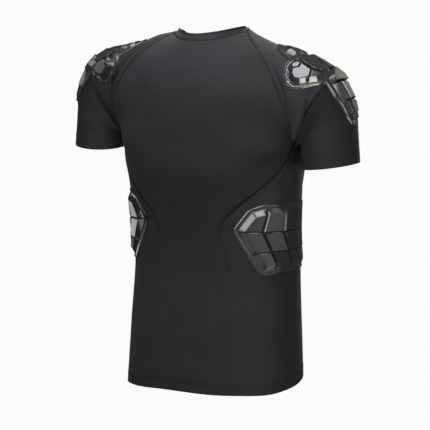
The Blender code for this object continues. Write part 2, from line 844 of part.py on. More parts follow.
def main():
    clear_scene()
    cage = build_cage()
    panels = sorted(set(cage.panels))
    guide = guide_object("shirt_form", cage, panels)
    fit_cage(guide, np.array([tuple(place) for place in cage.points]))
    form = Form(guide, panels)
    shirt = bpy.data.objects.new("shirt", None)
    bpy.context.scene.collection.objects.link(shirt)
    cloth = [cloth_solid(form, panel) for panel in panels]
    pads = []
    for name, side in (("left", 1), ("right", -1)):
        rib_wrap = Wrap(side_line(cage, side), RIB_CORE, form.tree)
        rib = [*rib_drawing(), RIB_GROOVE_FLOOR, RIB_CHAMFER]
        pads.append(pad_solid("rib_pad_" + name, rib_wrap, *rib))
        shoulder_wrap = Wrap(shoulder_line(cage, side), SHOULDER_CORE, form.tree, SHOULDER_SHIFT[name])
        shoulder = [*shoulder_drawing(), SHOULDER_GROOVE_FLOOR, SHOULDER_CHAMFER]
        pads.append(pad_solid("shoulder_pad_" + name, shoulder_wrap, *shoulder))
    for pieces, kind, values in ((cloth, "knit", CLOTH_LOOK), (pads, "moulded_pad", PAD_LOOK)):
        for piece in pieces:
            piece.parent = shirt
            piece.data.materials.append(look(kind + "_" + piece.name, *values))


if __name__ == "__main__":
    main()
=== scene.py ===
# %% [markdown]
# # A padded compression shirt, seen from behind
# The shirt is already built as plain solids: thin walls of cloth and four moulded pads. This lesson
# dresses it. The solids are loaded first, as a fixed frame. Every new piece is then laid on the same
# smooth form that the solids were made from, so nothing has to be fitted by eye, and it takes the place
# of the solid it stands for.

import heapq
import json
import math
from collections import namedtuple

import bpy
import numpy as np
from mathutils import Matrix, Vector
from mathutils.bvhtree import BVHTree
from mathutils.geometry import delaunay_2d_cdt
from mathutils.interpolate import poly_3d_calc

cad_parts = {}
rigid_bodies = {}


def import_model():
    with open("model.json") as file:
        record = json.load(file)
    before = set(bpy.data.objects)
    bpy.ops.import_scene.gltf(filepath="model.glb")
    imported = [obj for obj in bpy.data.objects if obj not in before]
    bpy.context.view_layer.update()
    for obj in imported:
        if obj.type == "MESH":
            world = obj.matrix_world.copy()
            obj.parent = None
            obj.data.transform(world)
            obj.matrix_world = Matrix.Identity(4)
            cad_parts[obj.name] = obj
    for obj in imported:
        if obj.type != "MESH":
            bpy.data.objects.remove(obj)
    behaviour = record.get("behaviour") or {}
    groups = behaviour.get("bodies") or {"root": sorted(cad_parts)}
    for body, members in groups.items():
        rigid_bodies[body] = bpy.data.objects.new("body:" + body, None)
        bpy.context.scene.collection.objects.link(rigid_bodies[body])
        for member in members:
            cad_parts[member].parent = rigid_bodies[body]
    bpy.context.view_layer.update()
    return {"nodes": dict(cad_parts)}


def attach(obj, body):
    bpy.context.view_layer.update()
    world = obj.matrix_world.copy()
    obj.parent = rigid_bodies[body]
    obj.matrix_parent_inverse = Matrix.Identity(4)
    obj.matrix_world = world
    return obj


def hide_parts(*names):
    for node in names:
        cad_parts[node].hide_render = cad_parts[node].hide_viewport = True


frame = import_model()
BODY = "root"
MM = 0.001
SCENE = bpy.context.scene
print("solids:", ", ".join(sorted(frame["nodes"])))

# %% [markdown]
# ## Camera
# The shirt is seen from behind and from a little towards the wearer's right, from far off with a long
# lens, so its sides stay almost parallel. A lens is a length in millimetres for a 36 mm sensor, and it
# follows from how many pixels one unit of slope covers. The camera is turned until the middle of the
# shirt falls on its own pixel; shifting the lens would do the same, but the shift would stay on in
# every other view.

# %% Camera
IMAGE_SIDE = 430
FOCAL_PIXELS = 1739
SENSOR_MM = 36.0
VIEW_AZIMUTH, VIEW_ELEVATION, VIEW_DISTANCE = 210.0, 7.5, 3.3
SHIRT_MIDDLE = Vector((0, 0, -0.35))
SHIRT_MIDDLE_PIXEL = (216, 212)


def direction(azimuth, elevation):
    """The way towards a viewer: azimuth 0 stands in front of the wearer, 90 at the wearer's left."""
    turn, rise = math.radians(azimuth), math.radians(elevation)
    return Vector((math.sin(turn) * math.cos(rise), -math.cos(turn) * math.cos(rise), math.sin(rise)))


def face_towards(holder, aim):
    """Turns a camera or a lamp so that it looks at the aim."""
    holder.rotation_euler = (aim - holder.location).to_track_quat("-Z", "Y").to_euler()


to_camera = direction(VIEW_AZIMUTH, VIEW_ELEVATION)
image_right = (-to_camera).cross(Vector((0, 0, 1))).normalized()
image_up = image_right.cross(-to_camera)
pixel = VIEW_DISTANCE / FOCAL_PIXELS
off_right = SHIRT_MIDDLE_PIXEL[0] - IMAGE_SIDE / 2
off_up = IMAGE_SIDE / 2 - SHIRT_MIDDLE_PIXEL[1]
aim = SHIRT_MIDDLE - (image_right * off_right + image_up * off_up) * pixel

lens = bpy.data.cameras.new("camera")
lens.sensor_width = SENSOR_MM
lens.lens = FOCAL_PIXELS / IMAGE_SIDE * SENSOR_MM
camera = bpy.data.objects.new("camera", lens)
SCENE.collection.objects.link(camera)
camera.location = SHIRT_MIDDLE + to_camera * VIEW_DISTANCE
face_towards(camera, aim)
SCENE.camera = camera
print(f"lens {lens.lens:.1f} mm, one pixel is {pixel / MM:.2f} mm")

# %% [markdown]
# ## Studio
# Black cloth shows its form only by how much light reaches it, and glossy pads only by what they
# mirror. So wide panels light the body, which darkens towards the hem, the sleeves, the right yoke and
# the front, and one small panel with a narrow spread lights the right side. Smaller cards give each pad
# something bright to mirror: a facet shows the card that lies where its mirror image looks. Light
# linking keeps every lamp to its own pieces, as a photographer's flags would. A pale floor fills the
# picture up to the horizon.

# %% Floor
FLOOR_HEIGHT = -1.40
FLOOR_SIDE = 600.0
FLOOR_COLOUR = (0.40, 0.40, 0.40, 1)
FLOOR_GLOW_COLOUR = (1.0, 0.995, 0.985, 1)
FLOOR_GLOW = 0.92
FLOOR_ROUGHNESS = 0.9


def deselect_all():
    if bpy.context.object and bpy.context.object.mode != "OBJECT":
        bpy.ops.object.mode_set(mode="OBJECT")
    bpy.ops.object.select_all(action="DESELECT")


def new_finish(name):
    """A material with its node tree and shader."""
    finish = bpy.data.materials.new(name)
    finish.use_nodes = True
    return finish, finish.node_tree, finish.node_tree.nodes["Principled BSDF"]


deselect_all()
bpy.ops.mesh.primitive_plane_add(size=FLOOR_SIDE, location=(0, 0, FLOOR_HEIGHT))
floor = bpy.context.object
floor.name = "floor"
bpy.ops.object.transform_apply(location=True, rotation=False, scale=False)
floor_paint, _, floor_shader = new_finish("floor_paint")
floor_shader.inputs["Base Color"].default_value = FLOOR_COLOUR
floor_shader.inputs["Roughness"].default_value = FLOOR_ROUGHNESS
floor_shader.inputs["Emission Color"].default_value = FLOOR_GLOW_COLOUR
floor_shader.inputs["Emission Strength"].default_value = FLOOR_GLOW
floor.data.materials.append(floor_paint)
floor.visible_diffuse = False
floor.visible_glossy = False
print(f"a floor {-FLOOR_HEIGHT:.2f} m below the origin")

# %% Table of lamps
WHITE, COOL, WARM = (1.0, 1.0, 1.0), (0.92, 0.94, 1.0), (1.0, 0.96, 0.88)
SIDE_GLOW_SPREAD = math.radians(4)
AIMS = {
    # pieces that a lamp lights, and the point it faces
    "cloth": SHIRT_MIDDLE,
    "body": SHIRT_MIDDLE,
    "sleeve": Vector((0, 0.05, -0.20)),
    "shoulder_right": Vector((-0.17, 0.10, -0.14)),
    "side_right": Vector((-0.145, 0.06, -0.32)),
    "shoulder_pad": Vector((-0.20, 0.06, -0.07)),
    "shoulder_pad_right": Vector((-0.20, 0.06, -0.07)),
    "shoulder_pad_left": Vector((0.20, 0.07, -0.06)),
    "rib_pad_right": Vector((-0.15, 0.02, -0.38)),
    "rib_pad_left": Vector((0.15, 0.03, -0.37)),
}
LAMPS = [
    # name, lights, azimuth, elevation, distance, width, height, radiance, colour
    ("body_key", "body", 168, 62, 2.6, 2.0, 1.6, 7.2, COOL),
    ("body_fill", "body", 230, 6, 3.0, 2.6, 2.0, 2.2, WHITE),
    ("sleeve_fill", "sleeve", 222, -6, 3.0, 2.6, 2.0, 3.4, WHITE),
    ("sleeve_side", "sleeve", 150, -4, 3.0, 2.0, 2.0, 1.7, WHITE),
    ("yoke_fill", "shoulder_right", 232, -50, 1.3, 0.9, 0.9, 3.2, WHITE),
    ("side_glow", "side_right", 235, -8, 2.6, 0.12, 0.12, 0.47, WHITE),
    ("cloth_front", "cloth", 20, 50, 2.8, 1.8, 1.4, 8.0, WHITE),
    ("cloth_front_fill", "cloth", 14, 4, 3.0, 2.2, 1.8, 1.8, WHITE),
    ("lobe_sky", "shoulder_pad_right", 180, 72, 2.4, 1.70, 1.60, 11.5, COOL),
    ("lobe_ground", "shoulder_pad_right", 241, -39, 1.5, 0.56, 0.78, 17.0, WARM),
    ("bead_card", "shoulder_pad_right", 196, 20, 3.6, 1.00, 0.70, 13.0, WHITE),
    ("bead_low_card", "shoulder_pad_right", 231, 2, 3.6, 0.95, 0.80, 11.0, WHITE),
    ("pad_strip", "shoulder_pad", 150, 25, 2.6, 0.60, 1.50, 8.0, WHITE),
    ("wall_strip", "shoulder_pad", 180, 5, 2.6, 0.60, 0.50, 13.0, WHITE),
    ("wall_low_strip", "shoulder_pad_right", 179, -15, 2.6, 0.50, 0.40, 14.0, WHITE),
    ("rail_strip", "shoulder_pad", 256, 28, 2.6, 0.50, 0.60, 10.0, WHITE),
    ("cap_card", "shoulder_pad", 344, 22, 2.6, 1.40, 1.30, 1.1, WARM),
    ("left_card", "shoulder_pad_left", 105, 26, 2.4, 1.30, 1.10, 1.0, WHITE),
    ("left_tile_card", "shoulder_pad_left", 84, 52, 2.4, 1.30, 0.60, 5.5, WHITE),
    ("left_top_card", "shoulder_pad_left", 20, 84, 2.4, 1.40, 1.40, 8.0, COOL),
    ("left_cap_card", "shoulder_pad_left", 176, 64, 2.4, 0.60, 0.50, 7.0, WHITE),
    ("left_edge_card", "shoulder_pad_left", 104, 5, 2.4, 1.00, 0.45, 3.5, WHITE),
    ("left_low_card", "shoulder_pad_left", 223, 42, 2.6, 0.90, 0.70, 10.0, WHITE),
    ("rib_top_card", "rib_pad_right", 209, 36, 2.6, 0.70, 0.60, 13.0, WHITE),
    ("rib_left_card", "rib_pad_right", 158, 14, 2.6, 2.30, 1.20, 8.0, WHITE),
    ("rib_sky", "rib_pad_right", 232, 64, 2.4, 1.30, 1.50, 3.5, WHITE),
    ("rib_right_card", "rib_pad_right", 278, 26, 2.6, 0.90, 0.70, 2.0, WHITE),
    ("rib_low_card", "rib_pad_right", 250, -15, 2.2, 2.60, 0.70, 1.05, WHITE),
    ("rib_ground", "rib_pad_right", 276, -52, 1.1, 0.70, 0.70, 1.4, WHITE),
    ("rib_shade", "rib_pad_right", 153, -42, 1.2, 1.00, 0.80, 0.6, WHITE),
    ("rib_groove_card", "rib_pad_right", 200, 14, 2.6, 1.00, 0.60, 9.0, WHITE),
    ("rib_groove_low_card", "rib_pad_right", 204, -12, 2.6, 0.50, 0.30, 8.0, WHITE),
    ("left_rib_card", "rib_pad_left", 77, -13, 2.2, 0.80, 0.75, 2.2, WHITE),
    ("left_rib_bead_card", "rib_pad_left", 157, 19, 2.6, 0.65, 0.50, 7.0, WHITE),
    ("left_rib_ground", "rib_pad_left", 158, -47, 1.3, 0.50, 0.40, 3.0, WHITE),
    ("left_rib_sky", "rib_pad_left", 120, 60, 2.4, 1.30, 1.50, 3.5, WHITE),
]
print(len(LAMPS), "lamps for", len(AIMS), "groups of pieces")

# %% Lamps and backdrop
WORLD_COLOUR = (0.94, 0.96, 1.0, 1)
WORLD_STRENGTH = 0.12


def soft_panel(name, aim, azimuth, elevation, distance, width, height, radiance, colour):
    """A rectangular light that faces the aim and is as bright as the radiance all over."""
    lamp = bpy.data.lights.new(name, "AREA")
    lamp.shape = "RECTANGLE"
    lamp.size, lamp.size_y = width, height
    lamp.energy = radiance * math.pi * width * height
    lamp.color = colour
    holder = bpy.data.objects.new(name, lamp)
    SCENE.collection.objects.link(holder)
    holder.location = aim + direction(azimuth, elevation) * distance
    face_towards(holder, aim)
    return holder


lit_pieces = {kind: bpy.data.collections.new("lit_" + kind) for kind in AIMS}
for name, kind, *placing in LAMPS:
    soft_panel(name, AIMS[kind], *placing).light_linking.receiver_collection = lit_pieces[kind]
bpy.data.lights["side_glow"].spread = SIDE_GLOW_SPREAD
world = bpy.data.worlds.new("studio")
world.use_nodes = True
backdrop = world.node_tree.nodes["Background"]
backdrop.inputs["Color"].default_value = WORLD_COLOUR
backdrop.inputs["Strength"].default_value = WORLD_STRENGTH
SCENE.world = world
SCENE.view_settings.view_transform = "Standard"

# %% [markdown]
# ## The shirt's form, as tables
# A tailor thinks of a shirt in rounds and seams: how wide and deep it is at each height, and where
# the seams run. The tables below say just that, and they are the same ones that the solids were made
# from. The wearer faces -Y, so the back is +Y, and +X is the wearer's left. The solids use the form
# coarsely; here it is divided more finely. Each round of the torso is a superellipse, a rounded oval
# that is a little squarer than a true one, as a chest is. The back and front above the armpit are
# rows that round off towards the shoulder seam.

# %% Rounds of the torso
RING_POWER = 2.3
TORSO_SECTIONS = [
    # height, half_width, back, front, back_seam, front_seam
    (-0.677, 0.178, 0.119, -0.108, 39.5, 134.0),
    (-0.625, 0.175, 0.116, -0.109, 38.5, 135.0),
    (-0.565, 0.172, 0.112, -0.110, 36.5, 137.0),
    (-0.505, 0.168, 0.108, -0.112, 31.5, 140.0),
    (-0.450, 0.165, 0.105, -0.115, 24.5, 145.0),
    (-0.400, 0.165, 0.107, -0.115, 20.8, 149.0),
    (-0.360, 0.166, 0.111, -0.115, 20.5, 149.0),
    (-0.325, 0.168, 0.116, -0.115, 31.5, 140.0),
    (-0.295, 0.171, 0.121, -0.115, 46.0, 127.0),
    (-0.265, 0.175, 0.126, -0.114, 62.0, 113.0),
    (-0.235, 0.181, 0.128, -0.114, 74.0, 104.0),
    (-0.205, 0.190, 0.128, -0.113, 77.0, 102.0),
]
BACK_COLUMNS = 3
SIDE_COLUMNS = 3
FRONT_COLUMNS = 3


def ring_point(section, angle):
    """A point of a torso round at an angle from the centre back, on the wearer's left."""
    height, half_width, back, front = section[:4]
    turn = math.radians(angle)
    half_depth = (back - front) / 2
    across = abs(math.sin(turn)) ** (2 / RING_POWER)
    along = abs(math.cos(turn)) ** (2 / RING_POWER)
    sign = 1 if angle <= 90 else -1
    return Vector((half_width * across, (back + front) / 2 + sign * half_depth * along, height))


def torso_angles(section):
    """Angles of a round's columns from the centre back to the centre front."""
    back_seam, front_seam = section[4:]
    stops = [0, back_seam, 90, front_seam, 180]
    counts = [BACK_COLUMNS, SIDE_COLUMNS, SIDE_COLUMNS, FRONT_COLUMNS]
    angles = [0]
    for first, last, count in zip(stops, stops[1:], counts):
        angles += [first + (last - first) * (step + 1) / count for step in range(count)]
    return angles


print("armpit at", [round(value, 3) for value in ring_point(TORSO_SECTIONS[-1], 90)])

# %% Rows of the back and the front
BACK_ROWS = [
    # centre_y, centre_z, seam_x, seam_y, seam_z
    (0.128, -0.158, 0.188, 0.061, -0.166),
    (0.122, -0.110, 0.171, 0.072, -0.109),
    (0.105, -0.064, 0.129, 0.056, -0.049),
    (0.074, -0.022, 0.078, 0.023, -0.009),
]
FRONT_ROWS = [
    # centre_y, centre_z, seam_x, seam_y, seam_z
    (-0.113, -0.176, 0.186, -0.044, -0.168),
    (-0.108, -0.147, 0.168, -0.054, -0.113),
    (-0.100, -0.119, 0.127, -0.038, -0.053),
    (-0.086, -0.092, 0.079, -0.008, -0.017),
]


def panel_row(row, columns):
    """Points from the centre line to the seam: flat at the centre and rounding off towards the seam."""
    centre_y, centre_z, seam_x, seam_y, seam_z = row
    points = []
    for step in range(columns + 1):
        share = step / columns
        y = centre_y + (seam_y - centre_y) * share**RING_POWER
        z = centre_z + (seam_z - centre_z) * share * share
        points.append(Vector((seam_x * share, y, z)))
    return points


print(len(BACK_ROWS), "rows on the back,", len(FRONT_ROWS), "on the front")

# %% [markdown]
# ## Shoulders and sleeves
# The shoulder piece is a fan of arches between the seam beside the neck and the armhole, and the
# sleeve is a tube of slanting ovals.

# %% Arches of the shoulder
ARMHOLE_TOP = (0.256, 0.009, -0.0825)
ARMHOLE_SWELL = 0.025
SHOULDER_ARCHES = [
    # share, rise, swell, more_rise_on_the_left
    (0.22, 0.0000, 0.004, 0.0095),
    (0.44, 0.0040, 0.008, 0.0030),
    (0.64, 0.0085, 0.009, 0.0000),
    (0.83, 0.0100, 0.006, 0.0000),
]
ARCH_POWER = 2.3
ARCH_STEPS = 10


def armhole_point(back_foot, front_foot, step):
    """A point of the armhole arch, which stands on the two armpit points."""
    turn = math.pi * step / ARCH_STEPS
    middle = (back_foot + front_foot) / 2
    rise = math.sin(turn) ** (2 / ARCH_POWER)
    run = math.copysign(abs(math.cos(turn)) ** (2 / ARCH_POWER), math.cos(turn))
    point = middle + (Vector(ARMHOLE_TOP) - middle) * rise + (back_foot - front_foot) / 2 * run
    point.y += ARMHOLE_SWELL * math.sin(2 * turn)
    return point


def arch_point(arch, inner, outer, step, side):
    """A point of an arch between the seam at the neck side and the armhole."""
    share, rise, swell, more_rise = arch
    rise += more_rise if side > 0 else 0
    turn = math.pi * step / ARCH_STEPS
    return inner + (outer - inner) * share + Vector((0, swell * math.sin(2 * turn), rise * math.sin(turn)))


print(len(SHOULDER_ARCHES), "arches between the seam and the armhole")

# %% Rounds of the sleeves
SLEEVE_SECTIONS = [
    # outer_x, outer_z, inner_x, inner_z, middle_y, half_depth
    (0.283, -0.126, 0.196, -0.214, 0.009, 0.065),
    (0.292, -0.160, 0.195, -0.224, 0.010, 0.062),
    (0.296, -0.198, 0.195, -0.235, 0.011, 0.059),
    (0.300, -0.233, 0.197, -0.248, 0.012, 0.056),
]
SLEEVE_ARCH_TURN = 120
UNDERARM_STEPS = 2 * SIDE_COLUMNS
# Each sleeve's mouth hangs lower at the back, by a share of its half depth, and the left one is pushed up
# a little at its inner edge.
BACK_DROP = {"left": 0.13, "right": 0.05}
INNER_RISE = {"left": 0.010, "right": 0.0}


def sleeve_point(section, step, back_drop, inner_rise):
    """A point of a sleeve round; step counts from the back armpit over the top."""
    outer_x, outer_z, inner_x, inner_z, middle_y, half_depth = section
    inner_z += inner_rise
    if step <= ARCH_STEPS:
        turn = math.radians(SLEEVE_ARCH_TURN - 2 * SLEEVE_ARCH_TURN * step / ARCH_STEPS)
    else:
        under = (360 - 2 * SLEEVE_ARCH_TURN) * (step - ARCH_STEPS) / UNDERARM_STEPS
        turn = math.radians(-SLEEVE_ARCH_TURN - under)
    centre = Vector(((outer_x + inner_x) / 2, middle_y, (outer_z + inner_z) / 2))
    outward = Vector(((outer_x - inner_x) / 2, 0, (outer_z - inner_z) / 2))
    backward = Vector((0, half_depth, -back_drop * half_depth))
    return centre + outward * math.cos(turn) + backward * math.sin(turn)


print(len(SLEEVE_SECTIONS), "rounds on each sleeve")

# %% [markdown]
# ## The control cage
# The points are joined into a coarse net of four-sided faces, each filed under the cut piece it
# belongs to. Faces of neighbouring pieces share their points, so the seams can't drift apart.


# %% A cage of shared points
class Cage:
    """Points shared by name, and faces filed under their cut piece."""

    def __init__(self):
        self.points = []
        self.index = {}
        self.faces = []
        self.panels = []

    def point(self, key, place):
        if key not in self.index:
            self.index[key] = len(self.points)
            self.points.append(Vector(place))
        return self.index[key]

    def row(self, name, number, places, side, centre=None):
        """A row of points on one side; the one on the centre line is shared by both sides."""
        made = []
        for step, place in enumerate(places):
            key = (name, number, step, 0 if step == centre else side)
            made.append(self.point(key, (side * place[0], place[1], place[2])))
        return made

    def face(self, panel, corners, side):
        ring = [corner for step, corner in enumerate(corners) if corner not in corners[:step]]
        if len(ring) > 2:
            self.faces.append(ring if side < 0 else ring[::-1])
            self.panels.append(panel)

    def strip(self, panel, lower, upper, side):
        """Faces between two rows of points."""
        for step in range(len(lower) - 1):
            self.face(panel, (lower[step], lower[step + 1], upper[step + 1], upper[step]), side)


cage = Cage()
print("an empty cage, with", len(cage.points), "points")

# %% The two halves
HANDS = {1: "left", -1: "right"}
BACK_SEAM = BACK_COLUMNS
FRONT_SEAM = BACK_COLUMNS + 2 * SIDE_COLUMNS
NECK_SIDE = (0.083, 0.013, -0.009)


def torso_half(cage, side):
    """The rounds of the torso on one side; returns their rows of points."""
    centres = (0, FRONT_SEAM + FRONT_COLUMNS)
    flank = slice(BACK_SEAM, FRONT_SEAM + 1)
    rows = []
    for number, section in enumerate(TORSO_SECTIONS):
        line = []
        for column, angle in enumerate(torso_angles(section)):
            place = ring_point(section, angle)
            key = ("torso", number, column, 0 if column in centres else side)
            line.append(cage.point(key, (side * place.x, place.y, place.z)))
        rows.append(line)
    for lower, upper in zip(rows, rows[1:]):
        cage.strip("back", lower[: BACK_SEAM + 1], upper[: BACK_SEAM + 1], side)
        cage.strip("side_" + HANDS[side], lower[flank], upper[flank], side)
        cage.strip("front", lower[FRONT_SEAM:], upper[FRONT_SEAM:], side)
    return rows


def panels_half(cage, armpit_row, side):
    """The rows of the back and the front above the armpit, on one side."""
    backs, fronts = [armpit_row[: BACK_SEAM + 1]], [armpit_row[FRONT_SEAM:]]
    for number, row in enumerate(BACK_ROWS):
        backs.append(cage.row("back", number, panel_row(row, BACK_COLUMNS), side, centre=0))
    for number, row in enumerate(FRONT_ROWS):
        places = panel_row(row, FRONT_COLUMNS)[::-1]
        fronts.append(cage.row("front", number, places, side, centre=FRONT_COLUMNS))
    for panel, grid_rows in (("back", backs), ("front", fronts)):
        for lower, upper in zip(grid_rows, grid_rows[1:]):
            cage.strip(panel, lower, upper, side)
    return backs, fronts


def shoulder_half(cage, seam, side):
    """The arches of one shoulder, from its seam beside the neck; returns the arch of the armhole."""
    back_foot = cage.points[seam[0]].copy()
    front_foot = cage.points[seam[-1]].copy()
    back_foot.x = front_foot.x = abs(back_foot.x)
    arches = [seam]
    for number, arch in enumerate(SHOULDER_ARCHES + [None]):
        places = []
        for step in range(1, ARCH_STEPS):
            place = armhole_point(back_foot, front_foot, step)
            if arch:
                inner = cage.points[seam[step]].copy()
                inner.x = abs(inner.x)
                place = arch_point(arch, inner, place, step, side)
            places.append(place)
        arches.append([seam[0]] + cage.row("arch", number, places, side) + [seam[-1]])
    for inner, outer in zip(arches, arches[1:]):
        cage.strip("shoulder_" + HANDS[side], outer, inner, side)
    return arches[-1]


def sleeve_half(cage, armhole, side):
    """One sleeve, from the ring of its armhole outwards."""
    hand = HANDS[side]
    rings = [armhole]
    for number, section in enumerate(SLEEVE_SECTIONS):
        share = (number + 1) / len(SLEEVE_SECTIONS)
        shifts = (BACK_DROP[hand] * share, INNER_RISE[hand] * share)
        steps = range(ARCH_STEPS + UNDERARM_STEPS)
        places = [sleeve_point(section, step, *shifts) for step in steps]
        rings.append(cage.row("sleeve", number, places, side))
    for inner, outer in zip(rings, rings[1:]):
        cage.strip("sleeve_" + hand, outer + outer[:1], inner + inner[:1], side)


def half_cage(cage, side):
    """One half of the shirt; returns its neck edge, from the centre back to the centre front."""
    rows = torso_half(cage, side)
    backs, fronts = panels_half(cage, rows[-1], side)
    neck_side = cage.row("neck_side", 0, [NECK_SIDE], side)[0]
    seam = [line[-1] for line in backs] + [neck_side] + [line[0] for line in fronts[::-1]]
    underarm = rows[-1][BACK_SEAM + 1 : FRONT_SEAM][::-1]
    sleeve_half(cage, shoulder_half(cage, seam, side) + underarm, side)
    return backs[-1] + [neck_side] + fronts[-1]


neck_loops = {side: half_cage(cage, side) for side in HANDS}
print(len(cage.points), "points and", len(cage.faces), "faces without the neckband")

# %% The neckband
COLLAR_HEIGHT = 0.011
COLLAR_LEAN = 0.6
COLLAR_SIDE_LEAN = 0.9


def neckband(cage, loops):
    """A narrow band that stands on the neck edge and leans in towards the neck."""
    edge = loops[1] + loops[-1][-2:0:-1]
    centre = sum((cage.points[number] for number in edge), Vector()) / len(edge)
    places = []
    for number in edge:
        place = cage.points[number]
        inward = Vector((centre.x - place.x, centre.y - place.y, 0)).normalized()
        lean = COLLAR_LEAN + COLLAR_SIDE_LEAN * (place.x / NECK_SIDE[0]) ** 2
        places.append(place + (Vector((0, 0, 1)) + inward * lean).normalized() * COLLAR_HEIGHT)
    top = cage.row("collar", 0, places, 1)
    cage.strip("collar", edge + edge[:1], top + top[:1], 1)


neckband(cage, neck_loops)
PANELS = sorted(set(cage.panels))
print(len(cage.points), "points and", len(cage.faces), "faces in", len(PANELS), "cut pieces")

# %% [markdown]
# ## Stance
# The wearer stands with the weight on one leg, so every point is raised or lowered a little by how
# far out it lies. The hem is cut longer at the back than at the front, so the points near it are
# lowered or raised by the way they face.

# %% Stance and hem
STANCE = [
    # height, rise_per_metre towards the wearer's left
    (-0.70, -0.080),
    (-0.50, -0.015),
    (-0.36, 0.025),
    (-0.06, 0.030),
    (-0.01, -0.030),
]
HEM_DIPS = [
    # turn from the centre back towards the wearer's right, drop
    (-180, -0.013),
    (-117, -0.011),
    (-67, -0.005),
    (-13, -0.005),
    (17, 0.002),
    (41, 0.005),
    (52, 0.007),
    (67, 0.004),
    (93, -0.002),
    (117, -0.013),
    (180, -0.013),
]
HEM_REACH = 0.17


def stance_lift(place):
    """How far a point is raised because the wearer's weight is on one leg."""
    heights = [row[0] for row in STANCE]
    slopes = [row[1] for row in STANCE]
    return place[0] * float(np.interp(place[2], heights, slopes))


def hem_dip(place):
    """How far a point near the hem hangs down because the back is cut longer than the front."""
    height, half_width, back, front = TORSO_SECTIONS[0][:4]
    across = -place[0] / half_width
    along = (place[1] - (back + front) / 2) / ((back - front) / 2)
    turn = math.degrees(math.atan2(across, along))
    share = min(max((height + HEM_REACH - place[2]) / HEM_REACH, 0), 1)
    return share * float(np.interp(turn, [row[0] for row in HEM_DIPS], [row[1] for row in HEM_DIPS]))


for place in cage.points:
    place.z += stance_lift(place) - hem_dip(place)
print(f"the top of the left armhole is raised by {stance_lift(ARMHOLE_TOP) / MM:.1f} mm")

# %% [markdown]
# ## One smooth skin
# A subdivision surface rounds the net off, but it also draws it in, as a string pulled tight cuts a
# corner. So the net is first pushed out, a few times over, until the smooth skin passes through the
# tables' own points. The modifier is then applied, and the skin is read back as arrays of points,
# normals and faces.

# %% Skin of the whole shirt
SKIN_LEVEL = 3
FIT_ROUNDS = 4


def select_only(piece):
    deselect_all()
    piece.select_set(True)
    bpy.context.view_layer.objects.active = piece


def point_array(mesh):
    """A mesh's points as rows of an array."""
    places = np.empty(3 * len(mesh.vertices))
    mesh.vertices.foreach_get("co", places)
    return places.reshape(-1, 3)


def evaluated_points(piece):
    """A piece's points as its modifiers leave them."""
    bpy.context.view_layer.update()
    shape = piece.evaluated_get(bpy.context.evaluated_depsgraph_get())
    places = point_array(shape.to_mesh())
    shape.to_mesh_clear()
    return places


skin_mesh = bpy.data.meshes.new("skin")
skin_mesh.from_pydata([tuple(place) for place in cage.points], [], cage.faces)
for panel in PANELS:
    skin_mesh.materials.append(bpy.data.materials.new("panel_" + panel))
skin_mesh.polygons.foreach_set("material_index", [PANELS.index(panel) for panel in cage.panels])
skin = bpy.data.objects.new("skin", skin_mesh)
SCENE.collection.objects.link(skin)
smooth = skin.modifiers.new("smooth", "SUBSURF")
smooth.levels = smooth.render_levels = SKIN_LEVEL
targets = np.array([tuple(place) for place in cage.points])
pushed = targets.copy()
for _ in range(FIT_ROUNDS):
    pushed += targets - evaluated_points(skin)[: len(targets)]
    skin_mesh.vertices.foreach_set("co", pushed.ravel())
    skin_mesh.update()
select_only(skin)
bpy.ops.object.modifier_apply(modifier="smooth")
skin_mesh = skin.data

skin_points = point_array(skin_mesh)
skin_normals = np.array([vertex.normal for vertex in skin_mesh.vertices])
skin_faces = [tuple(face.vertices) for face in skin_mesh.polygons]
skin_owners = [PANELS[face.material_index] for face in skin_mesh.polygons]
skin_tree = BVHTree.FromPolygons([tuple(place) for place in skin_points], skin_faces)
miss = np.abs(skin_points[: len(targets)] - targets).max()
print(len(skin_faces), "faces of skin, at most", round(miss / MM, 2), "mm from the tables")
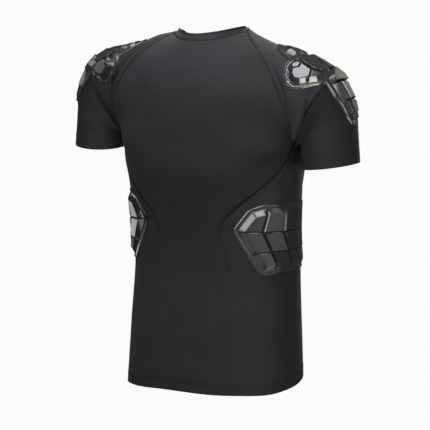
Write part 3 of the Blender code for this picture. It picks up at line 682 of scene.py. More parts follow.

# %% [markdown]
# ## Creases
# A tight knit hardly creases, but it still pulls at the armpits, sags a little at the waist and hangs
# free over the hips. Each crease is drawn as seen from one side: a start, a bend and an end,
# with a depth (a ridge is positive) and a width. Cloth simulation would wrinkle the whole shirt at
# random; this keeps it as smooth as it is.

# %% Table of creases
CREASES = [
    # seen_from, start, bend, end, depth_mm, width_mm
    ("right", (0.000, -0.497), (0.020, -0.560), (0.052, -0.632), -1.7, 7.0),
    ("right", (0.034, -0.492), (0.050, -0.545), (0.074, -0.606), 1.1, 9.0),
    ("right", (-0.046, -0.520), (-0.030, -0.575), (-0.006, -0.640), -1.2, 8.0),
    ("right", (0.010, -0.272), (0.034, -0.292), (0.066, -0.304), -0.9, 6.0),
    ("right", (-0.030, -0.286), (-0.052, -0.300), (-0.078, -0.304), -0.8, 6.0),
    ("left", (0.012, -0.505), (0.030, -0.556), (0.058, -0.612), -1.3, 8.0),
    ("left", (-0.038, -0.515), (-0.026, -0.572), (-0.010, -0.650), -1.1, 7.0),
    ("left", (0.016, -0.270), (0.036, -0.284), (0.060, -0.292), -0.8, 6.0),
    ("back", (-0.118, -0.468), (-0.096, -0.506), (-0.058, -0.530), -0.9, 9.0),
    ("back", (0.124, -0.476), (0.104, -0.520), (0.072, -0.552), -0.8, 8.0),
    ("back", (0.020, -0.446), (-0.004, -0.452), (-0.034, -0.448), -0.5, 8.0),
    ("back", (-0.172, -0.196), (-0.150, -0.218), (-0.116, -0.228), -1.2, 6.0),
    ("back", (-0.166, -0.222), (-0.142, -0.250), (-0.118, -0.284), -0.7, 7.0),
    ("back", (0.174, -0.190), (0.154, -0.214), (0.124, -0.222), -1.1, 6.0),
    ("back", (-0.092, -0.590), (-0.086, -0.628), (-0.082, -0.668), -0.7, 6.0),
    ("back", (0.064, -0.600), (0.060, -0.634), (0.056, -0.676), -0.5, 7.0),
    ("front", (0.170, -0.192), (0.142, -0.214), (0.104, -0.220), -1.3, 6.0),
    ("front", (-0.172, -0.198), (-0.148, -0.224), (-0.108, -0.234), -1.1, 6.0),
    ("front", (-0.120, -0.440), (-0.082, -0.462), (-0.030, -0.466), -0.9, 9.0),
    ("front", (0.118, -0.452), (0.086, -0.480), (0.046, -0.490), -0.8, 8.0),
    ("front", (0.074, -0.578), (0.066, -0.622), (0.062, -0.676), -0.8, 7.0),
    ("front", (-0.060, -0.596), (-0.064, -0.634), (-0.066, -0.672), -0.6, 7.0),
    ("back", (-0.206, -0.206), (-0.232, -0.212), (-0.262, -0.196), -0.9, 5.0),
    ("back", (-0.214, -0.176), (-0.238, -0.172), (-0.262, -0.156), -0.6, 5.0),
    ("back", (0.206, -0.200), (0.230, -0.204), (0.258, -0.190), -0.9, 5.0),
    ("back", (-0.206, -0.108), (-0.192, -0.150), (-0.172, -0.218), 5.0, 20.0),
    ("back", (-0.226, -0.108), (-0.210, -0.150), (-0.184, -0.212), 5.5, 15.0),
    ("back", (0.204, -0.102), (0.194, -0.140), (0.176, -0.206), 4.0, 18.0),
    ("back", (0.222, -0.104), (0.208, -0.142), (0.184, -0.200), 3.5, 14.0),
    ("front", (0.208, -0.196), (0.234, -0.202), (0.262, -0.188), -1.0, 5.0),
    ("front", (-0.208, -0.204), (-0.236, -0.212), (-0.264, -0.200), -0.9, 5.0),
]
print(len(CREASES), "creases")

# %% Creases pressed into the skin
CREASE_SAMPLES = 25
CREASE_FADE = 1.5
FAR = 1.0
SIGHT = {
    # seen_from: the way the sight line runs
    "back": Vector((0, -1, 0)),
    "front": Vector((0, 1, 0)),
    "left": Vector((-1, 0, 0)),
    "right": Vector((1, 0, 0)),
}


def on_skin(seen_from, across, height):
    """The nearest point of the skin on a level sight line."""
    sight = SIGHT[seen_from]
    level = Vector((across, 0, height)) if sight.x == 0 else Vector((0, across, height))
    return skin_tree.ray_cast(level - sight * FAR, sight)[0]


def crease_shift(seen_from, start, bend, end, depth_mm, width_mm):
    """How far each point of the skin moves in or out for one crease; it fades out at both ends."""
    pull = np.zeros(len(skin_points))
    for step in range(CREASE_SAMPLES):
        share = (step + 0.5) / CREASE_SAMPLES
        flat = [
            (1 - share) ** 2 * a + 2 * share * (1 - share) * b + share**2 * c
            for a, b, c in zip(start, bend, end)
        ]
        middle = on_skin(seen_from, *flat)
        away = np.linalg.norm(skin_points - np.array(middle), axis=1)
        fade = math.sin(math.pi * share) ** CREASE_FADE
        pull = np.maximum(pull, fade * np.exp(-((away / (width_mm * MM)) ** 2)))
    return pull * depth_mm * MM


creases = sum(crease_shift(*row) for row in CREASES)
creased_points = skin_points + skin_normals * creases[:, None]
skin_mesh.vertices.foreach_set("co", creased_points.ravel())
skin_mesh.update()
print(f"creases of {creases.min() / MM:.2f} to {creases.max() / MM:.2f} mm")

# %% [markdown]
# ## Finding the seams
# A seam runs wherever two neighbouring faces belong to different cut pieces, and a hem wherever a face
# has no neighbour. Walking along those edges gives each seam as one ordered line, which later carries
# the stitches. The tubes, which are the sleeves and the neckband, also need a line to be cut open along
# before they can be laid flat.

# %% Seam lines
SEAMS = {"seam_neck": [("collar", other) for other in ("back", "front", "shoulder_left", "shoulder_right")]}
for hand in HANDS.values():
    shoulder, sleeve, side_panel = "shoulder_" + hand, "sleeve_" + hand, "side_" + hand
    SEAMS["seam_armhole_" + hand] = [(shoulder, sleeve), (side_panel, sleeve)]
    for other in ("back", "front"):
        SEAMS[f"seam_raglan_{other}_{hand}"] = [(other, shoulder)]
        SEAMS[f"seam_side_{other}_{hand}"] = [(other, side_panel)]


def ring_pairs(ring):
    """Each item of a closed ring with the one after it."""
    return zip(ring, ring[1:] + ring[:1])


def edges_between(faces, owners):
    """Edges of the skin that part two cut pieces, filed under the pair; a free edge is paired with None."""
    meets = {}
    for face, owner in zip(faces, owners):
        for a, b in ring_pairs(face):
            meets.setdefault((min(a, b), max(a, b)), []).append(owner)
    lines = {}
    for edge, pair in meets.items():
        pair = pair if len(pair) > 1 else pair + [None]
        if pair[0] != pair[1]:
            lines.setdefault(frozenset(pair), []).append(edge)
    return lines


def chained(edges):
    """The edges' points in walking order, and whether they close into a ring."""
    beside = {}
    for a, b in edges:
        beside.setdefault(a, []).append(b)
        beside.setdefault(b, []).append(a)
    ends = [number for number, others in beside.items() if len(others) == 1]
    walk = [min(ends) if ends else min(beside)]
    while True:
        onward = [number for number in beside[walk[-1]] if number not in walk[-2:] and number != walk[0]]
        if not onward or len(walk) > len(beside):
            break
        walk.append(onward[0])
    return walk, not ends


seam_edges = edges_between(skin_faces, skin_owners)
seam_walks = {
    name: chained([edge for pair in pairs for edge in seam_edges[frozenset(pair)]])
    for name, pairs in SEAMS.items()
}
for name, (walk, ring) in seam_walks.items():
    length = np.linalg.norm(np.diff(skin_points[walk], axis=0), axis=1).sum()
    print(f"{name}: {length:.3f} m{', a ring' if ring else ''}")


# %% Lines to cut the tubes open along
def shortest_line(start, end, owner):
    """The edges of the shortest way between two points of one cut piece."""
    beside = {}
    for face, face_owner in zip(skin_faces, skin_owners):
        if face_owner == owner:
            for a, b in ring_pairs(face):
                beside.setdefault(a, set()).add(b)
                beside.setdefault(b, set()).add(a)
    best, came, queue = {start: 0.0}, {}, [(0.0, start)]
    while queue:
        length, here = heapq.heappop(queue)
        if here == end:
            break
        for other in beside[here]:
            total = length + float(np.linalg.norm(skin_points[here] - skin_points[other]))
            if total < best.get(other, math.inf):
                best[other], came[other] = total, here
                heapq.heappush(queue, (total, other))
    line = [end]
    while line[-1] != start:
        line.append(came[line[-1]])
    return {frozenset(pair) for pair in zip(line, line[1:])}


underarm_step = ARCH_STEPS + SIDE_COLUMNS
cut_lines = set()
for side, hand in HANDS.items():
    armpit = cage.index[("torso", len(TORSO_SECTIONS) - 1, BACK_COLUMNS + SIDE_COLUMNS, side)]
    cuff = cage.index[("sleeve", len(SLEEVE_SECTIONS) - 1, underarm_step, side)]
    cut_lines |= shortest_line(armpit, cuff, "sleeve_" + hand)
neck_front = cage.index[("front", len(FRONT_ROWS) - 1, FRONT_COLUMNS, 0)]
band_front = cage.index[("collar", 0, neck_loops[1].index(neck_front), 1)]
cut_lines |= shortest_line(neck_front, band_front, "collar")
for edge in skin_mesh.edges:
    edge.use_seam = frozenset(edge.vertices) in cut_lines
print(len(cut_lines), "edges to cut along")

# %% [markdown]
# ## Finishes
# Three things make up the look: a fine stretch knit, a glossy film over the foam pads, and sewing
# thread. A node group holds what more than one of them uses, such as a slow drift in tone. Numbers that
# are the same all over are set on the shader itself. The knit's loops are too small to model, so they
# are a bump in the cloth's own flat pattern: upright columns of loops, each loop a small V, with painted
# shade in the hollows between them. The band of the right armhole seam is painted darker as shade, and
# the thread of the side seams is painted nearly black as shade under the arms and pales below the waist.


# %% Helpers for shader nodes
def shader_group(name, inputs, outputs):
    """An empty node group with named sockets, and its two end nodes."""
    group = bpy.data.node_groups.new(name, "ShaderNodeTree")
    for label, kind, value in inputs:
        socket = group.interface.new_socket(label, in_out="INPUT", socket_type=kind)
        if value is not None:
            socket.default_value = value
    for label in outputs:
        group.interface.new_socket(label, in_out="OUTPUT", socket_type="NodeSocketFloat")
    return group, group.nodes.new("NodeGroupInput"), group.nodes.new("NodeGroupOutput")


def calculate(tree, operation, *values):
    """A math node; each value is a number or another node's output."""
    node = tree.nodes.new("ShaderNodeMath")
    node.operation = operation
    for socket, value in zip(node.inputs, values):
        if isinstance(value, (int, float)):
            socket.default_value = value
        else:
            tree.links.new(value, socket)
    return node.outputs[0]


def ranged(tree, value, low, high):
    """A value from 0 to 1, spread over another range."""
    node = tree.nodes.new("ShaderNodeMapRange")
    tree.links.new(value, node.inputs["Value"])
    node.inputs["To Min"].default_value = low
    node.inputs["To Max"].default_value = high
    return node.outputs["Result"]


def placed_group(tree, group, **values):
    """The group's node in a material, with its inputs set or linked."""
    node = tree.nodes.new("ShaderNodeGroup")
    node.node_tree = group
    for label, value in values.items():
        socket = node.inputs[label.replace("_", " ")]
        if isinstance(value, (int, float)):
            socket.default_value = value
        else:
            tree.links.new(value, socket)
    return node


def blended_colour(tree, share, dark, light):
    """A mix of two colours; each is a colour or another node's output."""
    node = tree.nodes.new("ShaderNodeMix")
    node.data_type = "RGBA"
    tree.links.new(share, node.inputs["Factor"])
    for label, colour in (("A", dark), ("B", light)):
        if isinstance(colour, tuple):
            node.inputs[label].default_value = colour
        else:
            tree.links.new(colour, node.inputs[label])
    return node.outputs["Result"]


def bumped(tree, height, distance, strength):
    """A bump from a height of 0 to 1, with its depth in metres and its strength."""
    node = tree.nodes.new("ShaderNodeBump")
    node.inputs["Distance"].default_value = distance
    node.inputs["Strength"].default_value = strength
    tree.links.new(height, node.inputs["Height"])
    return node.outputs["Normal"]


print("shader helpers ready")

# %% Two shared effects: slow drift in tone, and knitted loops
LOOP_SLANT = 0.5
LOOP_RELIEF = 0.2
COLUMN_POWER = 0.6

drift_group, entry, leave = shader_group(
    "tone_drift",
    [
        ("Place", "NodeSocketVector", None),
        ("Patches per metre", "NodeSocketFloat", 20.0),
        ("Fineness", "NodeSocketFloat", 4.0),
    ],
    ["Tone"],
)
cloud = drift_group.nodes.new("ShaderNodeTexNoise")
drift_group.links.new(entry.outputs["Place"], cloud.inputs["Vector"])
drift_group.links.new(entry.outputs["Patches per metre"], cloud.inputs["Scale"])
drift_group.links.new(entry.outputs["Fineness"], cloud.inputs["Detail"])
drift_group.links.new(cloud.outputs["Fac"], leave.inputs["Tone"])

knit_group, entry, leave = shader_group(
    "knit_loops",
    [
        ("Flat place", "NodeSocketVector", None),
        ("Columns per metre", "NodeSocketFloat", 1000.0),
        ("Rows per metre", "NodeSocketFloat", 1300.0),
    ],
    ["Height"],
)
parted = knit_group.nodes.new("ShaderNodeSeparateXYZ")
knit_group.links.new(entry.outputs["Flat place"], parted.inputs["Vector"])
column = calculate(knit_group, "MULTIPLY", parted.outputs["X"], entry.outputs["Columns per metre"])
bow = calculate(knit_group, "MULTIPLY", calculate(knit_group, "PINGPONG", column, 0.5), 2.0)
row_place = calculate(knit_group, "MULTIPLY", parted.outputs["Y"], entry.outputs["Rows per metre"])
slanted = calculate(knit_group, "ADD", row_place, calculate(knit_group, "MULTIPLY", bow, LOOP_SLANT))
wave = calculate(knit_group, "SINE", calculate(knit_group, "MULTIPLY", slanted, 2 * math.pi))
loop = calculate(knit_group, "MULTIPLY_ADD", wave, LOOP_RELIEF, 1 - LOOP_RELIEF)
ridge = calculate(knit_group, "POWER", bow, COLUMN_POWER)
knit_group.links.new(calculate(knit_group, "MULTIPLY", ridge, loop), leave.inputs["Height"])
print("groups:", drift_group.name, knit_group.name)

# %% Knit
KNIT_DARK, KNIT_LIGHT = (0.018, 0.0181, 0.0190, 1), (0.036, 0.0362, 0.0380, 1)
KNIT_PATCHES, KNIT_FINENESS = 28, 5
KNIT_ROUGHNESS = (0.56, 0.68)
KNIT_SHEEN, KNIT_SHEEN_ROUGHNESS, KNIT_SPECULAR = 0.02, 0.45, 0.15
BODY_LOOPS, BAND_LOOPS = (1000, 1300), (700, 1300)
# the loops' share of the colour is painted shade: darker in the hollows between loops
PAINTED_LOOP_SHADE = 0.45
LOOP_DEPTH, LOOP_STRENGTH = 0.00025, 0.6
FLAT_MAP = "flat_pattern"


def drifting_tone(tree, patches_per_metre, fineness):
    """A tone from 0 to 1 that drifts from place to place on the piece."""
    place = tree.nodes.new("ShaderNodeTexCoord").outputs["Object"]
    drift = placed_group(
        tree, drift_group, Place=place, Patches_per_metre=patches_per_metre, Fineness=fineness
    )
    return drift.outputs["Tone"]


def knit_finish(name, columns_per_metre, rows_per_metre):
    """Fine stretch knit with a soft sheen, its loops upright on each cut piece, with painted shade between
    them.
    """
    finish, tree, shader = new_finish(name)
    flat = tree.nodes.new("ShaderNodeUVMap")
    flat.uv_map = FLAT_MAP
    loops = placed_group(
        tree,
        knit_group,
        Flat_place=flat.outputs["UV"],
        Columns_per_metre=columns_per_metre,
        Rows_per_metre=rows_per_metre,
    ).outputs["Height"]
    tone = drifting_tone(tree, KNIT_PATCHES, KNIT_FINENESS)
    drift_shade = calculate(tree, "MULTIPLY", tone, 1 - PAINTED_LOOP_SHADE)
    # painted shade from the loops, on top of the random drift in tone
    tone_and_painted_loop_shade = calculate(tree, "MULTIPLY_ADD", loops, PAINTED_LOOP_SHADE, drift_shade)
    tree.links.new(blended_colour(tree, tone_and_painted_loop_shade, KNIT_DARK, KNIT_LIGHT), shader.inputs["Base Color"])
    tree.links.new(ranged(tree, tone, *KNIT_ROUGHNESS), shader.inputs["Roughness"])
    tree.links.new(bumped(tree, loops, LOOP_DEPTH, LOOP_STRENGTH), shader.inputs["Normal"])
    shader.inputs["Sheen Weight"].default_value = KNIT_SHEEN
    shader.inputs["Sheen Roughness"].default_value = KNIT_SHEEN_ROUGHNESS
    shader.inputs["Specular IOR Level"].default_value = KNIT_SPECULAR
    return finish


body_knit = knit_finish("body_knit", *BODY_LOOPS)
band_knit = knit_finish("band_knit", *BAND_LOOPS)
print("knit:", body_knit.name, band_knit.name)

# %% Film of the pads
FILM_DARK, FILM_LIGHT = (0.014, 0.0138, 0.0134, 1), (0.024, 0.0236, 0.0228, 1)
FILM_PATCHES, FILM_FINENESS = 45, 6
FILM_GLOSS, FILM_SPECULAR = (0.15, 0.26), 0.5
PLATE_GLOSS, PLATE_SPECULAR = (0.50, 0.60), 0.08
GRAIN_PATCHES, GRAIN_FINENESS = 900, 2
GRAIN_DEPTH, GRAIN_STRENGTH = 0.00006, 0.35
# grooves are made dull and painted black as shade; the groove attribute says how much shade each point gets
GROOVE_SHADE_MARK, GROOVE_SHADE_BLACK, GROOVE_DULL = "groove", (0.0012, 0.0012, 0.0012, 1), 0.75


def film_finish(name, gloss, specular):
    """Moulded film: a fine leathery grain, gloss that wanders a little, and dull grooves that are painted
    black as shade.
    """
    finish, tree, shader = new_finish(name)
    tone = drifting_tone(tree, FILM_PATCHES, FILM_FINENESS)
    grain = drifting_tone(tree, GRAIN_PATCHES, GRAIN_FINENESS)
    mark = tree.nodes.new("ShaderNodeAttribute")
    mark.attribute_name = GROOVE_SHADE_MARK
    groove = mark.outputs["Fac"]
    colour = blended_colour(tree, tone, FILM_DARK, FILM_LIGHT)
    # painted shade: the film's colour turns black in the grooves
    colour = blended_colour(tree, groove, colour, GROOVE_SHADE_BLACK)
    dull = calculate(tree, "MULTIPLY", groove, GROOVE_DULL)
    roughness = calculate(tree, "MAXIMUM", ranged(tree, tone, *gloss), dull)
    tree.links.new(colour, shader.inputs["Base Color"])
    tree.links.new(roughness, shader.inputs["Roughness"])
    tree.links.new(bumped(tree, grain, GRAIN_DEPTH, GRAIN_STRENGTH), shader.inputs["Normal"])
    shader.inputs["Specular IOR Level"].default_value = specular
    return finish


pad_film = film_finish("pad_film", FILM_GLOSS, FILM_SPECULAR)
pad_plate = film_finish("pad_plate", PLATE_GLOSS, PLATE_SPECULAR)
print("film:", pad_film.name, pad_plate.name)

# %% Thread
STITCH_PATCHES, BAND_PATCHES, THREAD_FINENESS = 400, 1500, 3
THREAD_ROUGHNESS, THREAD_SPECULAR = (0.45, 0.65), 0.25
THREAD_DARK, THREAD_LIGHT = (0.006, 0.006, 0.007, 1), (0.016, 0.016, 0.018, 1)
# the darkest band tones are painted shade: on the right armhole seam, and on the side seams under the arms
SHADED_BAND_DARK, SHADED_BAND_LIGHT = (0.006, 0.006, 0.0065, 1), (0.011, 0.011, 0.0115, 1)
SOFT_BAND_DARK, SOFT_BAND_LIGHT = (0.016, 0.016, 0.0168, 1), (0.026, 0.026, 0.0272, 1)
LOWER_BAND_DARK, LOWER_BAND_LIGHT = (0.026, 0.026, 0.0272, 1), (0.040, 0.040, 0.0420, 1)
# above the first height the side seams' band is painted nearly black as shade under the arms; below the
# second it takes its paler lower tones
SIDE_FADE = (-0.32, -0.40)


def thread_finish(name, dark, light, patches_per_metre, lower=None):
    """Spun thread, slightly lustrous; its tone changes from stitch to stitch and, if asked, lower down."""
    finish, tree, shader = new_finish(name)
    tone = drifting_tone(tree, patches_per_metre, THREAD_FINENESS)
    colour = blended_colour(tree, tone, dark, light)
    if lower:
        place = tree.nodes.new("ShaderNodeTexCoord").outputs["Object"]
        parted = tree.nodes.new("ShaderNodeSeparateXYZ")
        tree.links.new(place, parted.inputs["Vector"])
        top, bottom = SIDE_FADE
        fade = calculate(tree, "SUBTRACT", top, parted.outputs["Z"])
        fade = calculate(tree, "DIVIDE", fade, top - bottom)
        colour = blended_colour(tree, fade, colour, blended_colour(tree, tone, *lower))
    tree.links.new(colour, shader.inputs["Base Color"])
    tree.links.new(ranged(tree, tone, *THREAD_ROUGHNESS), shader.inputs["Roughness"])
    shader.inputs["Specular IOR Level"].default_value = THREAD_SPECULAR
    return finish


sewing_thread = thread_finish("sewing_thread", THREAD_DARK, THREAD_LIGHT, STITCH_PATCHES)
# dark thread, painted darker still as shade on the right armhole than on the other seams
seam_band = thread_finish("seam_band", SHADED_BAND_DARK, SHADED_BAND_LIGHT, BAND_PATCHES)
soft_band = thread_finish("soft_band", SOFT_BAND_DARK, SOFT_BAND_LIGHT, BAND_PATCHES)
lower_tones = (LOWER_BAND_DARK, LOWER_BAND_LIGHT)
# the side seams' band: painted shade under the arms, paler thread below the waist
side_band = thread_finish("side_band", SHADED_BAND_DARK, SHADED_BAND_LIGHT, BAND_PATCHES, lower_tones)
print("thread:", sewing_thread.name, seam_band.name, soft_band.name, side_band.name)

# %% [markdown]
# ## The cut pieces
# The skin is now split by cut piece, as scissors would. Each piece is drawn back a hair from its seams
# and sinks a little there, as stitched cloth does. It is unwrapped, which lays it flat as a paper
# pattern, and the pattern is scaled to metres and turned upright, so the knit has one size everywhere.
# Solidify then gives the wall its thickness, more along the hems, where the cloth is turned up double,
# and a small bevel rounds the cut edges.

# %% Split the skin
select_only(skin)
bpy.ops.object.mode_set(mode="EDIT")
bpy.ops.mesh.select_all(action="SELECT")
bpy.ops.mesh.separate(type="MATERIAL")
bpy.ops.object.mode_set(mode="OBJECT")
cut_pieces = {}
for piece in list(bpy.context.selected_objects):
    slot_number = piece.data.polygons[0].material_index
    panel = piece.data.materials[slot_number].name.removeprefix("panel_")
    piece.name = piece.data.name = panel + "_cloth"
    cut_pieces[panel] = piece
print("cut pieces:", ", ".join(sorted(cut_pieces)))

# %% Draw the pieces back from their seams
SEAM_DRAW = 0.00015
SEAM_SINK = 0.0006
ON_HEM = 0.0001
free_edges = {}
for pair, edges in seam_edges.items():
    if None in pair:
        free_edges[next(owner for owner in pair if owner)] = edges
hem_numbers = {number for edges in free_edges.values() for edge in edges for number in edge}
hem_points = skin_points[sorted(hem_numbers)]


def from_hem(place):
    """How far a place lies from the nearest hem."""
    return np.linalg.norm(hem_points - np.array(place), axis=1).min()


def border_edges(mesh):
    """Edges with one face, in the direction of that face."""
    directed = set()
    for face in mesh.polygons:
        directed |= set(ring_pairs(list(face.vertices)))
    return [pair for pair in directed if (pair[1], pair[0]) not in directed]


def draw_back(piece):
    """Moves the border in from the seams and down into them; hems stay where they are."""
    mesh = piece.data
    places = point_array(mesh)
    normals = np.array([vertex.normal for vertex in mesh.vertices])
    pulls = {}
    for first, second in border_edges(mesh):
        along = places[second] - places[first]
        for number in (first, second):
            pulls.setdefault(number, []).append(np.cross(normals[number], along))
    for number, ways in pulls.items():
        if from_hem(places[number]) > ON_HEM:
            inward = sum(way / np.linalg.norm(way) for way in ways)
            places[number] += inward / np.linalg.norm(inward) * SEAM_DRAW - normals[number] * SEAM_SINK
    mesh.vertices.foreach_set("co", places.ravel())
    mesh.update()


for piece in cut_pieces.values():
    draw_back(piece)
print(len(cut_pieces), "pieces drawn back,", len(hem_points), "points left on the hems")


# %% Lay the pieces flat
def lay_flat(piece):
    """Unwraps a cut piece and scales its pattern to metres, upright; returns its size and area."""
    mesh = piece.data
    mesh.uv_layers.new(name=FLAT_MAP)
    select_only(piece)
    bpy.ops.object.mode_set(mode="EDIT")
    bpy.ops.mesh.select_all(action="SELECT")
    bpy.ops.uv.unwrap(method="ANGLE_BASED", margin=0.0)
    bpy.ops.object.mode_set(mode="OBJECT")
    layer = mesh.uv_layers[FLAT_MAP].data
    flat = np.empty(2 * len(layer))
    layer.foreach_get("uv", flat)
    flat = flat.reshape(-1, 2)
    corners = np.empty(len(mesh.loops), dtype=int)
    mesh.loops.foreach_get("vertex_index", corners)
    heights = point_array(mesh)[corners, 2]
    area = sum(face.area for face in mesh.polygons)
    flat_area = 0.0
    for face in mesh.polygons:
        ring = flat[list(face.loop_indices)]
        after = np.roll(ring, -1, axis=0)
        flat_area += 0.5 * abs((ring[:, 0] * after[:, 1] - ring[:, 1] * after[:, 0]).sum())
    slope = np.linalg.lstsq(np.c_[flat, np.ones(len(flat))], heights, rcond=None)[0][:2]
    up = slope / np.linalg.norm(slope)
    turned = np.c_[flat @ np.array([up[1], -up[0]]), flat @ up] * math.sqrt(area / flat_area)
    turned -= turned.min(axis=0)
    layer.foreach_set("uv", turned.ravel())
    return turned.max(axis=0), area


flat_sizes = {panel: lay_flat(piece) for panel, piece in sorted(cut_pieces.items())}
for panel, ((width, length), area) in flat_sizes.items():
    print(f"{panel}: {width:.3f} by {length:.3f} m, {area:.4f} m2")

# %% Thicken the cloth
WALL = 0.0015
HEM_WALL = 0.0026
HEM_DEPTH = 0.020
EDGE_ROUND = 0.0005
CUT_EDGE_ANGLE = 55


def thicken(piece):
    """Gives the cloth its wall, thicker along the hems, and rounds its cut edges."""
    hem = piece.vertex_groups.new(name="hem")
    for vertex in piece.data.vertices:
        hem.add([vertex.index], 1.0 if from_hem(vertex.co) < HEM_DEPTH else 0.0, "REPLACE")
    wall = piece.modifiers.new("wall", "SOLIDIFY")
    wall.thickness = HEM_WALL
    wall.offset = -1
    wall.vertex_group = "hem"
    wall.thickness_vertex_group = WALL / HEM_WALL
    rounding = piece.modifiers.new("rounding", "BEVEL")
    rounding.limit_method = "ANGLE"
    rounding.angle_limit = math.radians(CUT_EDGE_ANGLE)
    rounding.width = EDGE_ROUND
    rounding.segments = 2
    select_only(piece)
    for name in ("wall", "rounding"):
        bpy.ops.object.modifier_apply(modifier=name)
    bpy.ops.object.shade_smooth()


for panel, piece in sorted(cut_pieces.items()):
    thicken(piece)
    piece.data.materials.clear()
    piece.data.materials.append(band_knit if panel == "collar" else body_knit)
    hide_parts(panel)
    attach(piece, BODY)
    print(f"{piece.name}: {len(piece.data.polygons)} faces")

# %% [markdown]
# ## Sewing
# The pieces are joined by flatlock seams, the flat kind used next to the skin: the edges butt together
# under a narrow band of thread, with a row of needle stitches along each side and a zigzag that ties
# them. The hems are turned up and held by two rows of stitches. A stitch is a short tube bowed up from
# the cloth. There are thousands of them, so each seam's stitches are worked out together in arrays and
# joined into one mesh.

# %% Lines to sew along
SEW_STEP = 0.00125


def even_steps(values, lengths, stops):
    """Rows of values taken at even stops along a line."""
    return np.stack([np.interp(stops, lengths, values[:, axis]) for axis in range(3)], axis=1)


def normalised(vectors):
    return vectors / np.linalg.norm(vectors, axis=1)[:, None]


def sewing_line(walk, ring):
    """Even steps along a walk over the skin: places, outward normals, and the way across the line."""
    order = walk + walk[:1] if ring else walk
    places, normals = skin_points[order], skin_normals[order]
    lengths = np.r_[0, np.cumsum(np.linalg.norm(np.diff(places, axis=0), axis=1))]
    count = 2 * max(2, round(lengths[-1] / (2 * SEW_STEP)))
    stops = np.linspace(0, lengths[-1], count + 1)
    places = even_steps(places, lengths, stops)
    normals = normalised(even_steps(normals, lengths, stops))
    if ring:
        along = np.roll(places[:-1], -1, axis=0) - np.roll(places[:-1], 1, axis=0)
        along = np.vstack([along, along[:1]])
    else:
        along = np.gradient(places, axis=0)
    return places, normals, normalised(np.cross(normals, along))


def over_skin(places, normals, height):
    """Places dropped on to the creased cloth and raised again by a height."""
    found = np.array([cloth_tree.find_nearest(Vector(place))[0] for place in places])
    return found + normals * height


def shifted_line(line, across):
    """The line moved sideways over the cloth."""
    places, normals, sideways = line
    return over_skin(places + sideways * across, normals, 0.0), normals, sideways


cloth_tree = BVHTree.FromPolygons([tuple(place) for place in creased_points], skin_faces)
seam_lines = {name: sewing_line(*walk) for name, walk in seam_walks.items()}
HEMS = {"hem_body": ["back", "front", "side_left", "side_right"]}
HEMS.update({"hem_sleeve_" + hand: ["sleeve_" + hand] for hand in HANDS.values()})
hem_lines = {}
for name, owners in HEMS.items():
    line = sewing_line(*chained([edge for owner in owners for edge in free_edges[owner]]))
    owned = {number for face, owner in zip(skin_faces, skin_owners) if owner in owners for number in face}
    inward = skin_points[sorted(owned)].mean(axis=0) - line[0].mean(axis=0)
    hem_lines[name] = (line[0], line[1], line[2] * np.sign((line[2] @ inward).mean()))
steps = sum(len(line[0]) for line in seam_lines.values())
print(f"{len(seam_lines)} seams and {len(hem_lines)} hems, {steps} steps along the seams")

# %% Stitches as tubes
THREAD_RADIUS = 0.00022
TUBE_SIDES = 4
STITCH_PITCH = 0.0025
STITCH_SHARE = 0.84
STITCH_BOW_MM = (0.0, 0.36, 0.36, 0.0)
HEM_ROWS = (0.0165, 0.0215)


def stitch_tubes(paths, normals, radius):
    """Points and faces of many small closed tubes; each path is a row of places."""
    count, steps = paths.shape[:2]
    along = np.gradient(paths, axis=1)
    along /= np.linalg.norm(along, axis=2)[:, :, None]
    sideways = np.cross(along, normals[:, None, :])
    sideways /= np.linalg.norm(sideways, axis=2)[:, :, None]
    upward = np.cross(sideways, along)
    turns = 2 * math.pi * (np.arange(TUBE_SIDES) + 0.5) / TUBE_SIDES
    rings = [paths + radius * (math.cos(turn) * sideways + math.sin(turn) * upward) for turn in turns]
    points = np.stack(rings, axis=2).reshape(-1, 3)
    faces = []
    for tube in range(count):
        base = tube * steps * TUBE_SIDES
        for step in range(steps - 1):
            low = base + step * TUBE_SIDES
            for side in range(TUBE_SIDES):
                after = (side + 1) % TUBE_SIDES
                faces.append((low + side, low + after, low + TUBE_SIDES + after, low + TUBE_SIDES + side))
        faces.append(tuple(base + side for side in reversed(range(TUBE_SIDES))))
        last = base + (steps - 1) * TUBE_SIDES
        faces.append(tuple(last + side for side in range(TUBE_SIDES)))
    return points, faces


def needle_row(line, across):
    """Straight stitches one after another along a line moved sideways."""
    places, normals, _ = shifted_line(line, across)
    stride = round(STITCH_PITCH / SEW_STEP)
    starts = np.arange(0, len(places) - stride, stride)
    first, last = places[starts], places[starts + stride]
    shares = np.linspace(0.5 - STITCH_SHARE / 2, 0.5 + STITCH_SHARE / 2, len(STITCH_BOW_MM))
    paths = np.stack(
        [
            first + (last - first) * share + normals[starts] * (bow * MM)
            for share, bow in zip(shares, STITCH_BOW_MM)
        ],
        axis=1,
    )
    return stitch_tubes(paths, normals[starts], THREAD_RADIUS)


print(len(needle_row(hem_lines["hem_body"], HEM_ROWS[0])[1]), "faces in one row of the hem")

# %% Zigzag, and the band under it
NEEDLE_ROWS_MM = (-1.9, 1.9)
ZIGZAG_HEIGHT_MM, ZIGZAG_BOW_MM = 0.34, 0.15
BAND_PROFILE = [
    # across_mm, height_mm
    (-2.6, -0.9),
    (-2.5, -0.1),
    (-2.0, 0.22),
    (-1.0, 0.30),
    (0.0, 0.12),
    (1.0, 0.30),
    (2.0, 0.22),
    (2.5, -0.1),
    (2.6, -0.9),
]


def zigzag(line, half_width, height):
    """Cover threads that run to and fro between the two needle rows."""
    places, normals, sideways = line
    numbers = np.arange(len(places))
    swing = np.where(numbers % 2 == 0, -half_width, half_width)
    turns = over_skin(places + sideways * swing[:, None], normals, height)
    middles = (turns[:-1] + turns[1:]) / 2 + normals[:-1] * ZIGZAG_BOW_MM * MM
    paths = np.stack([turns[:-1], middles, turns[1:]], axis=1)
    return stitch_tubes(paths, normals[:-1], THREAD_RADIUS)


